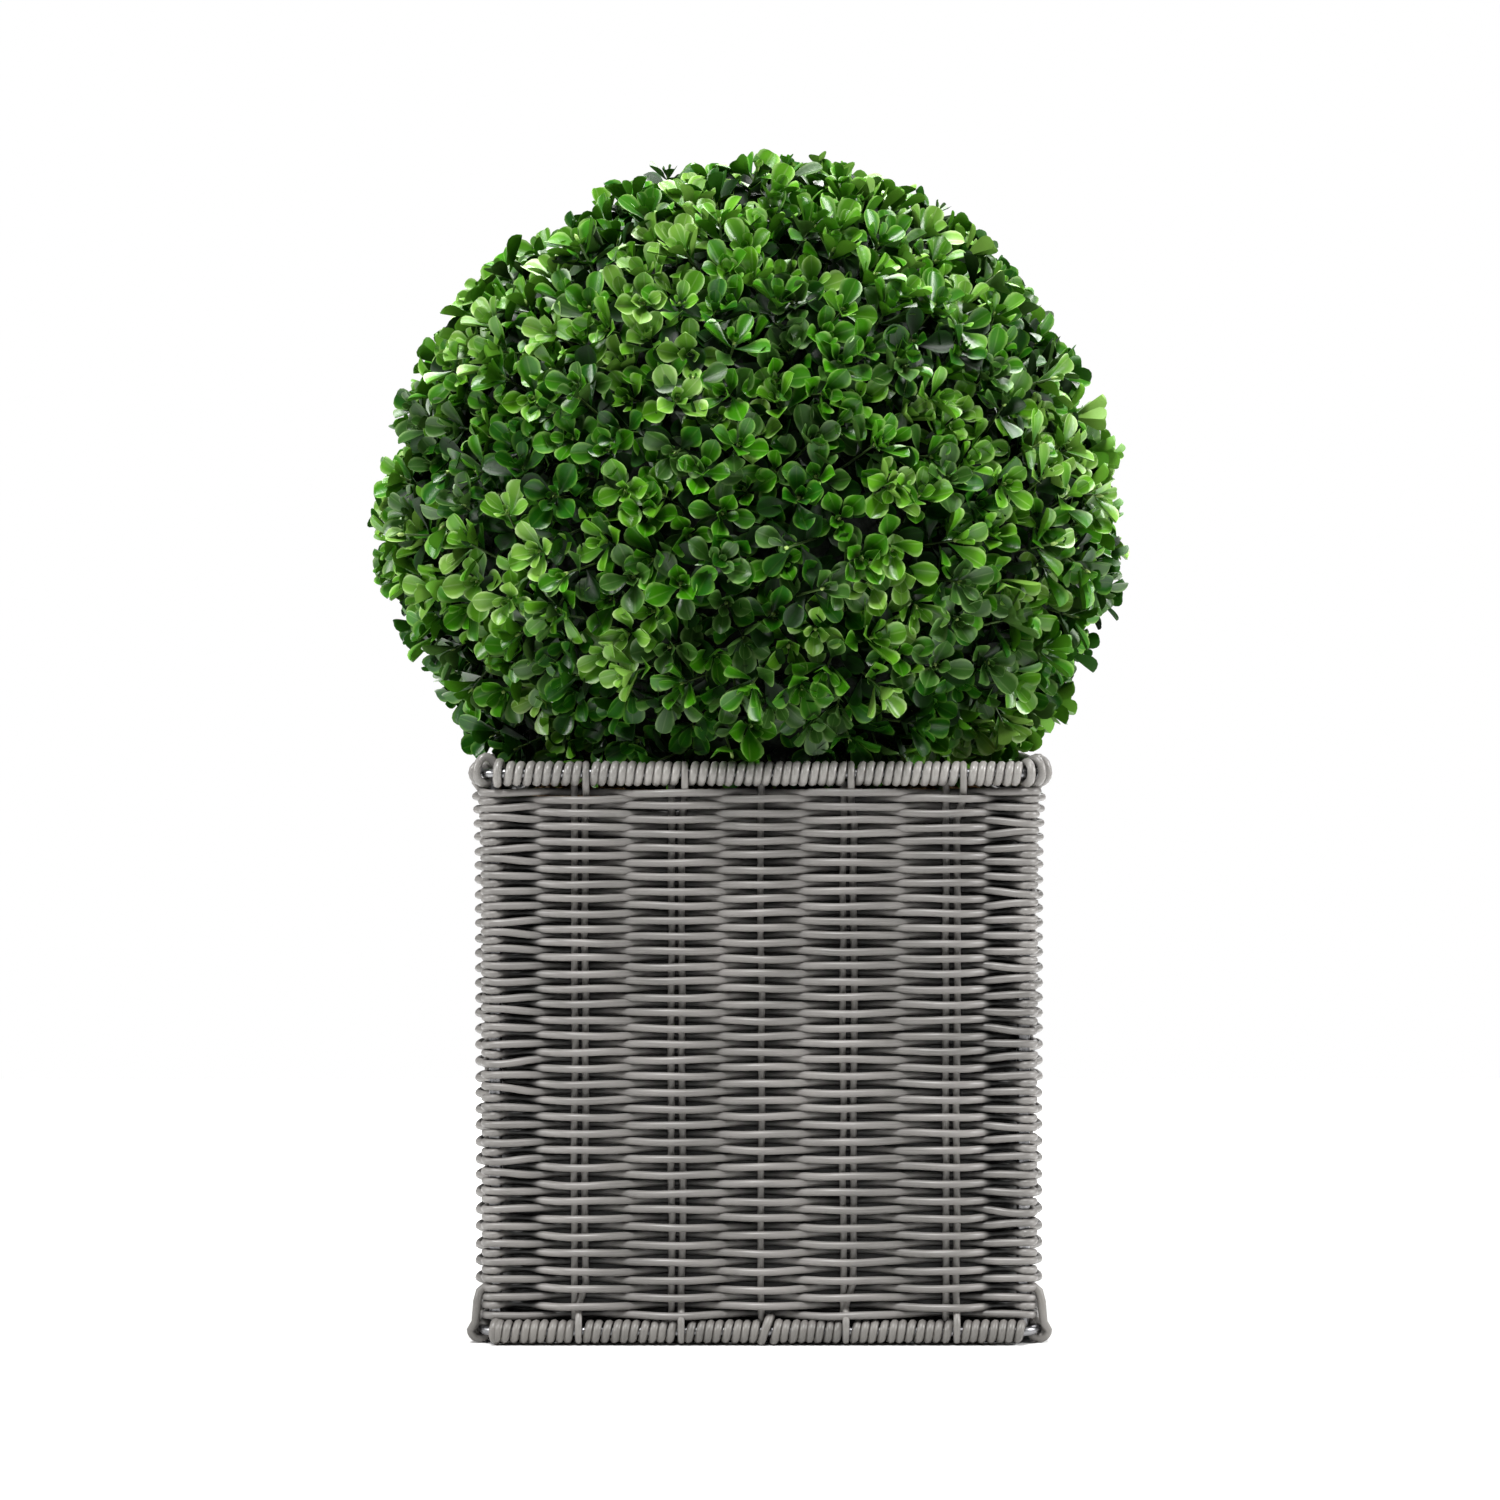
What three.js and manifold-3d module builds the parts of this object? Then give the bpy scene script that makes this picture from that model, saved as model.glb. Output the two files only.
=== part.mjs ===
// An artificial box topiary ball, 40 cm across, in a 29 cm cube planter woven from round synthetic
// rattan on a steel frame. Millimetres, +Z up. The origin is the middle of the footprint, on the ground.
//
// The planter is a welded steel frame of two hoops and four corner posts. Strand is wound round the
// straight runs of both hoops, upright stakes stand between the windings, and woven courses pass in
// front of one stake and behind the next. A plastic liner stands inside the wall and holds the
// filling, a short stem stands in the filling, and the leaf ball sits on the stem and the filling.

import * as THREE from "three";
import { mergeVertices } from "three/addons/utils/BufferGeometryUtils.js";
import Module from "manifold-3d";

const wasm = await Module();
wasm.setup();

// ---------------------------------------------------------------- driving dimensions

const CLEARANCE = 0.3; // left between pieces that touch

const PLANTER = { width: 290, height: 290 };
const STRAND = 4.2; // diameter of the rattan strand
const ROD = { diameter: 5, bend: 12, facets: 8 }; // the hoops' steel rod and its corner bend
const POST = { diameter: 6.5, line: 131 }; // the corner posts, and how far out each one stands

const STAKES = {
  plane: 136.5, // distance of the stakes from the planter's middle
  offsets: [-89, -41, 1, 44, 95], // along each side, set by hand and so a little uneven
  single: 2, // the middle stake is one strand, and the others are pairs
  thickness: 4,
  pairWidth: 8.4,
  singleWidth: 4.2,
};

// The wall's courses, each as high as two or three strands: the gap between two of them, how far one
// swings out and in at the stakes, and the clearance and the cut corner where it passes a post.
const COURSES = { count: 24, gap: 0.6, swing: 5.3, postClearance: 0.85, cornerCut: 2.5 };

const LINER = { wall: 2.5, floor: 4, top: 270, cornerCut: 12 };
const FILLING = { top: 275, holeDepth: 55 };
const STEM = { footRadius: 14, tipRadius: 11, top: 345, sides: 12 };

const BALL = {
  centreHeight: 405,
  reach: 202, // no leaf tip goes further out than this
  coreRadius: 160,
  coreDetail: 3,
  sprigs: 76,
  seed: 11,
  lean: 0.2, // how far a sprig may lean from straight out, in radians
  unevenness: 4, // how far a sprig's tip may stay behind the others
};
const TWIG = { tipRadius: 2.8, footRadius: 4, sides: 3, depth: 12 }; // depth: how far it is rooted in

// Leaf pairs from the sprig's tip down: leaf length, splay from the twig, and distance below the tip.
const LEAF_PAIRS = [
  { length: 30, splay: 0.4, below: 1 },
  { length: 39, splay: 0.85, below: 7 },
  { length: 43, splay: 1.3, below: 13 },
];
const LEAF = { widthShare: 0.72, shoulder: 0.66, thicknessShare: 0.045, cupShare: 0.1 };
const SPREAD = { length: 0.08, splay: 0.16, turn: 0.3 }; // how much the leaves of a pair differ

// ---------------------------------------------------------------- sizes that follow

const COIL_RADIUS = ROD.diameter / 2 + STRAND;
const HOOP_LINE = PLANTER.width / 2 - COIL_RADIUS; // from the middle to a hoop's centre line
const HOOP_HEIGHTS = { bottom: COIL_RADIUS, top: PLANTER.height - COIL_RADIUS };
const WALL_BOTTOM = 2 * COIL_RADIUS + CLEARANCE;
const WALL_TOP = PLANTER.height - 2 * COIL_RADIUS - CLEARANCE;
const LINER_HALF = STAKES.plane - COURSES.swing - STRAND / 2 - CLEARANCE;

// ---------------------------------------------------------------- materials

const finish = (color, roughness, metalness = 0) =>
  new THREE.MeshStandardMaterial({ color, roughness, metalness });

const RATTAN = finish(0x938f8b, 0.5);
const STEEL = finish(0x77787c, 0.35, 0.9);
const BLACK_PLASTIC = finish(0x171816, 0.6);
const COIR = finish(0x8a6a42, 0.95);
const WOOD = finish(0x5d4630, 0.8);
const LEAF_GREEN = finish(0x3f7d26, 0.4);

// ---------------------------------------------------------------- solids

/** A closed three.js geometry as a solid that can be cut and joined. */
function solid(geometry) {
  const bare = geometry.index ? geometry.toNonIndexed() : geometry.clone();
  bare.deleteAttribute("normal");
  bare.deleteAttribute("uv");
  const merged = mergeVertices(bare, 1e-3);
  return new wasm.Manifold(
    new wasm.Mesh({
      numProp: 3,
      vertProperties: merged.attributes.position.array,
      triVerts: new Uint32Array(merged.index.array),
    }),
  );
}

/** A solid back as a three.js geometry. */
function geometryOf(made) {
  const mesh = made.getMesh();
  const geometry = new THREE.BufferGeometry();
  geometry.setAttribute("position", new THREE.BufferAttribute(mesh.vertProperties, mesh.numProp));
  geometry.setIndex(new THREE.BufferAttribute(mesh.triVerts, 1));
  geometry.computeVertexNormals();
  return geometry;
}

const group = new THREE.Group();
group.name = "box_ball_in_planter";

/** Adds one named piece to a parent and returns it. */
function piece(name, geometry, material, parent = group) {
  const mesh = new THREE.Mesh(geometry, material);
  mesh.name = name;
  parent.add(mesh);
  return mesh;
}

/** The four sides of the planter as groups, each turned so that its own -Y faces outwards. */
const SIDES = ["front", "right", "back", "left"].map((name, quarter) => {
  const side = new THREE.Group();
  side.rotation.z = (quarter * Math.PI) / 2;
  group.add(side);
  return { name, side };
});

/** A closed outline through points. */
const outline = (points) => new THREE.Shape(points.map(([x, y]) => new THREE.Vector2(x, y)));

/** A square outline with its corners cut off. */
function cutSquare(half, cut) {
  const points = [];
  for (let quarter = 0; quarter < 4; quarter++) {
    const turn = (quarter * Math.PI) / 2;
    for (const [x, y] of [[half, cut - half], [half, half - cut]]) {
      const at = new THREE.Vector2(x, y).rotateAround(new THREE.Vector2(), turn);
      points.push([at.x, at.y]);
    }
  }
  return outline(points);
}

/** An upright prism on an outline, from one height to another. */
function prism(shape, bottom, top) {
  const made = new THREE.ExtrudeGeometry(shape, { depth: top - bottom, bevelEnabled: false });
  return made.translate(0, 0, bottom);
}

// ---------------------------------------------------------------- steel frame

/** A square path with round corners. */
function roundedSquare(half, radius, path) {
  const run = half - radius;
  path.absarc(run, run, radius, 0, Math.PI / 2);
  path.absarc(-run, run, radius, Math.PI / 2, Math.PI);
  path.absarc(-run, -run, radius, Math.PI, (3 * Math.PI) / 2);
  path.absarc(run, -run, radius, (3 * Math.PI) / 2, 2 * Math.PI);
  return path;
}

/** One hoop: a rod of eight facets bent into a square with round corners. */
function hoop(height) {
  const facet = ROD.diameter * Math.tan(Math.PI / ROD.facets);
  const slope = (ROD.diameter - facet) / 2;
  const ring = roundedSquare(HOOP_LINE + facet / 2, ROD.bend + facet / 2, new THREE.Shape());
  ring.holes.push(roundedSquare(HOOP_LINE - facet / 2, ROD.bend - facet / 2, new THREE.Path()));
  const made = new THREE.ExtrudeGeometry(ring, {
    depth: facet,
    bevelSize: slope,
    bevelThickness: slope,
    bevelSegments: 1,
    curveSegments: 2,
  });
  return solid(made.translate(0, 0, height - facet / 2));
}

/** The welded frame: both hoops and the four corner posts. */
function steelFrame() {
  let frame = hoop(HOOP_HEIGHTS.bottom).add(hoop(HOOP_HEIGHTS.top));
  const length = HOOP_HEIGHTS.top - HOOP_HEIGHTS.bottom;
  for (const x of [-POST.line, POST.line]) {
    for (const y of [-POST.line, POST.line]) {
      const radius = POST.diameter / 2;
      const post = new THREE.CylinderGeometry(radius, radius, length, ROD.facets);
      frame = frame.add(solid(post.rotateX(Math.PI / 2).translate(x, y, PLANTER.height / 2)));
    }
  }
  return geometryOf(frame);
}

piece("steel_frame", steelFrame(), STEEL);

// ---------------------------------------------------------------- wound rims

const WINDING_SIDES = 12;
const WINDING_LENGTH = 2 * (HOOP_LINE - ROD.bend) - 2 * CLEARANCE;

/** A regular outline with a flat at the bottom, its flats at the given radius. */
function flatFootedOutline(radius, sides) {
  const corner = radius / Math.cos(Math.PI / sides);
  return Array.from({ length: sides }, (_, i) => {
    const angle = -Math.PI / 2 + ((i + 0.5) * 2 * Math.PI) / sides;
    return new THREE.Vector2(corner * Math.cos(angle), corner * Math.sin(angle));
  });
}

/** The strand wound round one straight run of a hoop: a sleeve with the rod's bore through it. */
function windingGeometry() {
  const sleeve = new THREE.Shape(flatFootedOutline(COIL_RADIUS, WINDING_SIDES));
  const bore = flatFootedOutline(ROD.diameter / 2 + CLEARANCE, ROD.facets);
  sleeve.holes.push(new THREE.Path(bore.reverse()));
  const made = new THREE.ExtrudeGeometry(sleeve, { depth: WINDING_LENGTH, bevelEnabled: false });
  return made.translate(0, 0, -WINDING_LENGTH / 2).rotateX(Math.PI / 2).rotateZ(Math.PI / 2);
}

for (const { name, side } of SIDES) {
  for (const [level, height] of Object.entries(HOOP_HEIGHTS)) {
    const winding = piece(`rim_winding_${level}_${name}`, windingGeometry(), RATTAN, side);
    winding.position.set(0, -HOOP_LINE, height);
  }
}

// ---------------------------------------------------------------- stakes

/** The section of a stake: one strand, or two side by side, with its corners taken off. */
function stakeOutline(width) {
  const [w, t, cut] = [width / 2, STAKES.thickness / 2, STAKES.thickness * 0.3];
  return outline([
    [w, cut - t], [w, t - cut], [w - cut, t], [cut - w, t],
    [-w, t - cut], [-w, cut - t], [cut - w, -t], [w - cut, -t],
  ]);
}

for (const { name, side } of SIDES) {
  STAKES.offsets.forEach((offset, i) => {
    const width = i === STAKES.single ? STAKES.singleWidth : STAKES.pairWidth;
    const stake = piece(
      `stake_${name}_${i + 1}`, prism(stakeOutline(width), WALL_BOTTOM, WALL_TOP), RATTAN, side);
    stake.position.set(offset, -STAKES.plane, 0);
  });
}

// ---------------------------------------------------------------- woven courses

const COURSE_PITCH = (WALL_TOP - WALL_BOTTOM) / COURSES.count;
const CORNER_LINE = POST.line + POST.diameter / 2 + COURSES.postClearance + STRAND / 2;

/** The line of one course in plan, swinging out at every other stake and in at those between. */
function courseLine(first) {
  const points = [];
  SIDES.forEach((_, quarter) => {
    const turn = (quarter * Math.PI) / 2;
    const turned = (x, y) => new THREE.Vector2(x, y).rotateAround(new THREE.Vector2(), turn);
    points.push(turned(COURSES.cornerCut - CORNER_LINE, -CORNER_LINE));
    STAKES.offsets.forEach((offset, i) => {
      const swing = (i + first) % 2 === 0 ? COURSES.swing : -COURSES.swing;
      points.push(turned(offset, -STAKES.plane - swing));
    });
    points.push(turned(CORNER_LINE - COURSES.cornerCut, -CORNER_LINE));
  });
  return points;
}

/** A closed line moved sideways by a distance, outwards where it is positive. */
function offsetLine(line, distance) {
  return line.map((point, i) => {
    const into = point.clone().sub(line.at(i - 1)).normalize();
    const away = line[(i + 1) % line.length].clone().sub(point).normalize();
    const mitre = into.clone().add(away).normalize();
    const out = new THREE.Vector2(mitre.y, -mitre.x);
    return point.clone().addScaledVector(out, distance / mitre.dot(into));
  });
}

/** One course: a band the thickness of the strand, as high as the strands it stands for. */
function courseGeometry(first, bottom) {
  const line = courseLine(first);
  const band = new THREE.Shape(offsetLine(line, STRAND / 2));
  band.holes.push(new THREE.Path(offsetLine(line, -STRAND / 2).reverse()));
  return prism(band, bottom, bottom + COURSE_PITCH - COURSES.gap);
}

for (let i = 0; i < COURSES.count; i++) {
  const bottom = WALL_BOTTOM + i * COURSE_PITCH + COURSES.gap / 2;
  piece(`course_${String(i + 1).padStart(2, "0")}`, courseGeometry(i % 2, bottom), RATTAN);
}

// ---------------------------------------------------------------- liner, filling and stem

const HOLLOW_HALF = LINER_HALF - LINER.wall;
const HOLLOW_CUT = LINER.cornerCut - LINER.wall;
const linerOutside = solid(prism(cutSquare(LINER_HALF, LINER.cornerCut), 0, LINER.top));
const linerInside = solid(prism(cutSquare(HOLLOW_HALF, HOLLOW_CUT), LINER.floor, PLANTER.height));
piece("liner", geometryOf(linerOutside.subtract(linerInside)), BLACK_PLASTIC);

/** A stem-shaped body that stands upright on its foot, grown by a margin. */
function stemBody(foot, top, margin) {
  const body = new THREE.CylinderGeometry(
    STEM.tipRadius + margin, STEM.footRadius + margin, top - foot, STEM.sides);
  return body.rotateX(Math.PI / 2).translate(0, 0, (foot + top) / 2);
}

const stemFoot = FILLING.top - FILLING.holeDepth + CLEARANCE;
piece("stem", stemBody(stemFoot, STEM.top, 0), WOOD);

const fillingBlock = solid(
  prism(cutSquare(HOLLOW_HALF - CLEARANCE, HOLLOW_CUT), LINER.floor + CLEARANCE, FILLING.top),
);
const stemHole = solid(stemBody(stemFoot - CLEARANCE, STEM.top, CLEARANCE));
piece("filling", geometryOf(fillingBlock.subtract(stemHole)), COIR);

// ---------------------------------------------------------------- leaf ball

const UP = new THREE.Vector3(0, 0, 1);
const BALL_CENTRE = new THREE.Vector3(0, 0, BALL.centreHeight);
const BALL_FLOOR = FILLING.top + CLEARANCE;
const GOLDEN_ANGLE = Math.PI * (3 - Math.sqrt(5));

/** A seeded run of even random numbers from 0 to 1. */
function randomFrom(seed) {
  let state = seed;
  return () => {
    state = (state + 0x6d2b79f5) | 0;
    let mixed = Math.imul(state ^ (state >>> 15), 1 | state);
    mixed = (mixed + Math.imul(mixed ^ (mixed >>> 7), 61 | mixed)) ^ mixed;
    return ((mixed ^ (mixed >>> 14)) >>> 0) / 4294967296;
  };
}

/** A leaf along +X from the twig's middle: an octahedron drawn out, cupped, and widest near its end. */
function leafGeometry(length) {
  const leaf = new THREE.OctahedronGeometry(1);
  const corners = leaf.attributes.position;
  for (let i = 0; i < corners.count; i++) {
    const corner = new THREE.Vector3().fromBufferAttribute(corners, i).round();
    const along = { [-1]: 0, 0: length * LEAF.shoulder, 1: length }[corner.x];
    const across = (corner.y * length * LEAF.widthShare) / 2;
    const skin = (corner.z * length * LEAF.thicknessShare) / 2;
    const cup = length * LEAF.cupShare * (Math.abs(corner.y) + Math.max(corner.x, 0));
    corners.setXYZ(i, along, across, skin + cup);
  }
  return leaf;
}

/** How far a point lies from the centre line of the top rim. */
function distanceToRim({ x, y, z }) {
  const past = [x, y].map((side) => Math.max(Math.abs(side) - HOOP_LINE, 0));
  const inside = Math.max(HOOP_LINE - Math.max(Math.abs(x), Math.abs(y)), 0);
  return Math.hypot(...past, inside, z - HOOP_HEIGHTS.top);
}

/** True where a point may hold foliage: within the ball's reach, off the filling and off the rim. */
function hasRoom(point) {
  if (point.distanceTo(BALL_CENTRE) > BALL.reach) return false;
  if (point.z < BALL_FLOOR + CLEARANCE) return false;
  const sideways = Math.max(Math.abs(point.x), Math.abs(point.y));
  if (point.z < PLANTER.height && sideways > LINER_HALF) return false;
  return distanceToRim(point) > COIL_RADIUS + 2 * CLEARANCE;
}

/** True where a placed geometry keeps to the foliage's room, tested along lines from its first point. */
function fits(geometry) {
  const positions = geometry.attributes.position;
  const root = new THREE.Vector3().fromBufferAttribute(positions, 0);
  const at = new THREE.Vector3();
  for (let i = 1; i < positions.count; i++) {
    at.fromBufferAttribute(positions, i);
    for (const share of [0.4, 0.7, 1]) {
      if (!hasRoom(root.clone().lerp(at, share))) return false;
    }
  }
  return true;
}

/** One sprig: a three-sided twig rooted in the core, with each pair of leaves a quarter turn on. */
function sprig(direction, random) {
  const spread = (width) => width * (random() - 0.5);
  const lean = new THREE.Vector3(random() - 0.5, random() - 0.5, random() - 0.5);
  const axis = direction.clone().addScaledVector(lean, 2 * BALL.lean).normalize();
  const [tipPair] = LEAF_PAIRS;
  const rise = Math.cos(tipPair.splay) + LEAF.cupShare * Math.sin(tipPair.splay);
  const tipRadius = BALL.reach - tipPair.length * rise - BALL.unevenness * random();
  const footRadius = BALL.coreRadius - TWIG.depth;
  const foot = BALL_CENTRE.clone().addScaledVector(direction, footRadius);
  const length = tipRadius - footRadius;
  const twig = new THREE.CylinderGeometry(TWIG.tipRadius, TWIG.footRadius, length, TWIG.sides);
  const standing = new THREE.Matrix4().compose(
    foot, new THREE.Quaternion().setFromUnitVectors(UP, axis), new THREE.Vector3(1, 1, 1));
  twig.rotateX(Math.PI / 2).translate(0, 0, length / 2).applyMatrix4(standing);

  const start = random() * Math.PI;
  const leaves = LEAF_PAIRS.flatMap((pair, k) =>
    [0, Math.PI].map((opposite) => {
      const leaf = leafGeometry(pair.length * (1 + spread(SPREAD.length)));
      leaf.rotateY(pair.splay - Math.PI / 2 + spread(SPREAD.splay));
      leaf.rotateZ(start + (k * Math.PI) / 2 + opposite + spread(SPREAD.turn));
      return leaf.translate(0, 0, length - pair.below).applyMatrix4(standing);
    }),
  );
  return { twig, leaves: leaves.filter(fits) };
}

/** The clipped ball: a core cut flat underneath, bored for the stem, with sprigs standing out of it. */
function leafBall() {
  const floor = new THREE.BoxGeometry(2 * BALL.reach, 2 * BALL.reach, BALL.reach);
  floor.translate(0, 0, BALL_FLOOR - BALL.reach / 2);
  let ball = solid(
    new THREE.IcosahedronGeometry(BALL.coreRadius, BALL.coreDetail).translate(...BALL_CENTRE),
  ).subtract(solid(floor));

  const random = randomFrom(BALL.seed);
  for (let i = 0; i < BALL.sprigs; i++) {
    const height = 1 - (2 * (i + 0.5)) / BALL.sprigs;
    const around = i * GOLDEN_ANGLE;
    const width = Math.sqrt(1 - height * height);
    const direction = new THREE.Vector3(width * Math.cos(around), width * Math.sin(around), height);
    const { twig, leaves } = sprig(direction, random);
    if (!leaves.length || !fits(twig)) continue;
    ball = ball.add(solid(twig));
    for (const leaf of leaves) ball = ball.add(solid(leaf));
  }
  const socket = solid(stemBody(stemFoot - CLEARANCE, STEM.top + CLEARANCE, CLEARANCE));
  return geometryOf(ball.subtract(socket));
}

piece("leaf_ball", leafBall(), LEAF_GREEN);

export default group;
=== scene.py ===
"""An artificial box ball in a woven rattan planter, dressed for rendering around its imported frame.

The planter is a steel frame of two hoops and four corner posts. Round rattan strand is wound round
both hoops, stakes stand between them, and woven courses pass in front of one stake and behind the
next. A black liner holds coir, and the leaf ball stands on a short stem in it. Everything is in
metres, in the frame's own axes: the ground is z = 0 and the front side faces -Y.
"""

import logging
import math
from collections.abc import Iterable, Sequence
from dataclasses import dataclass, field
from enum import Enum, IntEnum
from typing import ClassVar

import bmesh
import bpy
import numpy as np
from mathutils import Matrix, Vector, noise


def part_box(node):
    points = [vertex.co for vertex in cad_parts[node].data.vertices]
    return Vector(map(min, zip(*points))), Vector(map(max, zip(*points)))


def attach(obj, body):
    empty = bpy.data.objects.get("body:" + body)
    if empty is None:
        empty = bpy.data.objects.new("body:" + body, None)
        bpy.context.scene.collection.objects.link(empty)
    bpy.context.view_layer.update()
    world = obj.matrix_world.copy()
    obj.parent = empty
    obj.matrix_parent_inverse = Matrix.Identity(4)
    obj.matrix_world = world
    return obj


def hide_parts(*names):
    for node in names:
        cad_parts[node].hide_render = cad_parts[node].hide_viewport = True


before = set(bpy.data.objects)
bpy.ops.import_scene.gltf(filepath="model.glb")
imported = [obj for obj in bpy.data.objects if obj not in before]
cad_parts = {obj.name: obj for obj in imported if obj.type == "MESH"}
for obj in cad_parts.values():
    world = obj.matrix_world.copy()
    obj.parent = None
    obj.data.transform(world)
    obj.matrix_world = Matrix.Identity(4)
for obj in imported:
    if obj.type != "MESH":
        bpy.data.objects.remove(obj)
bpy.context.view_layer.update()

log = logging.getLogger("box_ball")
BODY = "root"
MM = 0.001
GOLDEN_ANGLE = math.pi * (3 - math.sqrt(5))
SIDES = ("front", "right", "back", "left")
MIDDLE_STAKE = 2
MERGE_DISTANCE = 1e-4
Colour = tuple[int, int, int]


# ---------------------------------------------------------------- small tools


def linear(colour: Colour) -> tuple[float, float, float, float]:
    """Turns a screen colour of 0 to 255 into the linear colour, with full opacity, that shaders take."""
    parts = [c / 255 for c in colour]
    return (*[p / 12.92 if p <= 0.04045 else ((p + 0.055) / 1.055) ** 2.4 for p in parts], 1.0)


def ease(share: np.ndarray) -> np.ndarray:
    """Turns an even rise from 0 to 1 into one that starts and ends gently."""
    return (1 - np.cos(np.pi * np.clip(share, 0, 1))) / 2


def unit(vectors: np.ndarray) -> np.ndarray:
    """Scales each row of an array to length 1."""
    return vectors / np.linalg.norm(vectors, axis=-1, keepdims=True)


def turned(points: np.ndarray, quarter: int) -> np.ndarray:
    """Turns points about the Z axis.

    Args:
        points: The points, one in each row.
        quarter: How many quarter turns they are turned, seen from above against the clock.

    Returns:
        The turned points.
    """
    x, y, z = points.T
    for _ in range(quarter % 4):
        x, y = -y, x
    return np.column_stack([x, y, z])


def placed(name: str, mesh: bpy.types.Mesh, slot: str, *nodes: str) -> bpy.types.Object:
    """Makes a mesh a piece of the object.

    Args:
        name: The piece's name.
        mesh: Its mesh, already where it belongs.
        slot: The material slot of the record that its finish comes from. It is not used.
        *nodes: The frame's nodes that the piece stands for.

    Returns:
        The piece, which rides on the object's body.
    """
    mesh.name = name
    piece = bpy.data.objects.new(name, mesh)
    bpy.context.scene.collection.objects.link(piece)
    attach(piece, BODY)
    if nodes:
        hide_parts(*nodes)
    log.info("%s: %d faces, for %d nodes", name, len(mesh.polygons), len(nodes))
    return piece


def dressed(mesh: bpy.types.Mesh, *materials: bpy.types.Material) -> bpy.types.Mesh:
    """Makes a mesh smooth and gives it materials.

    Args:
        mesh: The mesh, which has no materials yet.
        *materials: Its materials, in the order of their slots.

    Returns:
        The same mesh.
    """
    for material in materials:
        mesh.materials.append(material)
    mesh.shade_smooth()
    return mesh


def from_bmesh(bm: bmesh.types.BMesh, material: bpy.types.Material) -> bpy.types.Mesh:
    """Turns a bmesh into a smooth mesh of one material, and frees the bmesh.

    Args:
        bm: The shape.
        material: What it is made of.

    Returns:
        The new mesh.
    """
    mesh = bpy.data.meshes.new("piece")
    bm.to_mesh(mesh)
    bm.free()
    return dressed(mesh, material)


def everything(bm: bmesh.types.BMesh) -> list[bmesh.types.BMVert | bmesh.types.BMEdge | bmesh.types.BMFace]:
    """All of a shape's vertices, edges and faces."""
    return bm.verts[:] + bm.edges[:] + bm.faces[:]


def sliced(bm: bmesh.types.BMesh, axis: int, low: float, high: float, slices: int) -> None:
    """Cuts a shape across an axis into even slices, which stay joined.

    Args:
        bm: The shape.
        axis: 0, 1 or 2 for the X, Y or Z axis.
        low: Where the first slice starts.
        high: Where the last slice ends.
        slices: How many slices there are.
    """
    along = Vector((0, 0, 0))
    along[axis] = 1
    for cut in np.linspace(low, high, slices + 1)[1:-1]:
        bmesh.ops.bisect_plane(bm, geom=everything(bm), plane_co=along * cut, plane_no=along)


def rounded(bm: bmesh.types.BMesh, edges: list[bmesh.types.BMEdge], radius: float, segments: int) -> None:
    """Rounds edges of a shape.

    Args:
        bm: The shape.
        edges: The edges that are rounded.
        radius: Their new radius.
        segments: How many facets each becomes.
    """
    bmesh.ops.bevel(
        bm, geom=edges, offset=radius, offset_type="OFFSET", segments=segments, profile=0.5,
        affect="EDGES", material=-1,
    )


@dataclass
class Tubes:
    """Round tubes swept along paths, all of one thickness.

    Attributes:
        radius: The tubes' radius.
        rings: Sides round a tube, beyond the first four, in pairs.
        closed: Whether each path runs back to its start.
    """

    radius: float
    rings: int = 2
    closed: bool = False

    def mesh(self, paths: Iterable[np.ndarray], material: bpy.types.Material) -> bpy.types.Mesh:
        """Sweeps every path and joins the tubes into one mesh.

        Args:
            paths: One array of points for each tube.
            material: What the tubes are made of.

        Returns:
            The mesh, with capped ends.
        """
        curve = bpy.data.curves.new("tubes", "CURVE")
        curve.dimensions = "3D"
        curve.twist_mode = "Z_UP" if self.closed else "MINIMUM"
        curve.bevel_depth = self.radius
        curve.bevel_resolution = self.rings
        curve.use_fill_caps = not self.closed
        for path in paths:
            spline = curve.splines.new("POLY")
            spline.points.add(len(path) - 1)
            spline.points.foreach_set("co", np.column_stack([path, np.ones(len(path))]).ravel())
            spline.use_cyclic_u = self.closed
        holder = bpy.data.objects.new("tubes", curve)
        mesh = bpy.data.meshes.new_from_object(holder)
        bpy.data.objects.remove(holder)
        bpy.data.curves.remove(curve)
        mesh.materials.clear()
        return dressed(mesh, material)


# ---------------------------------------------------------------- finishes


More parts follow.
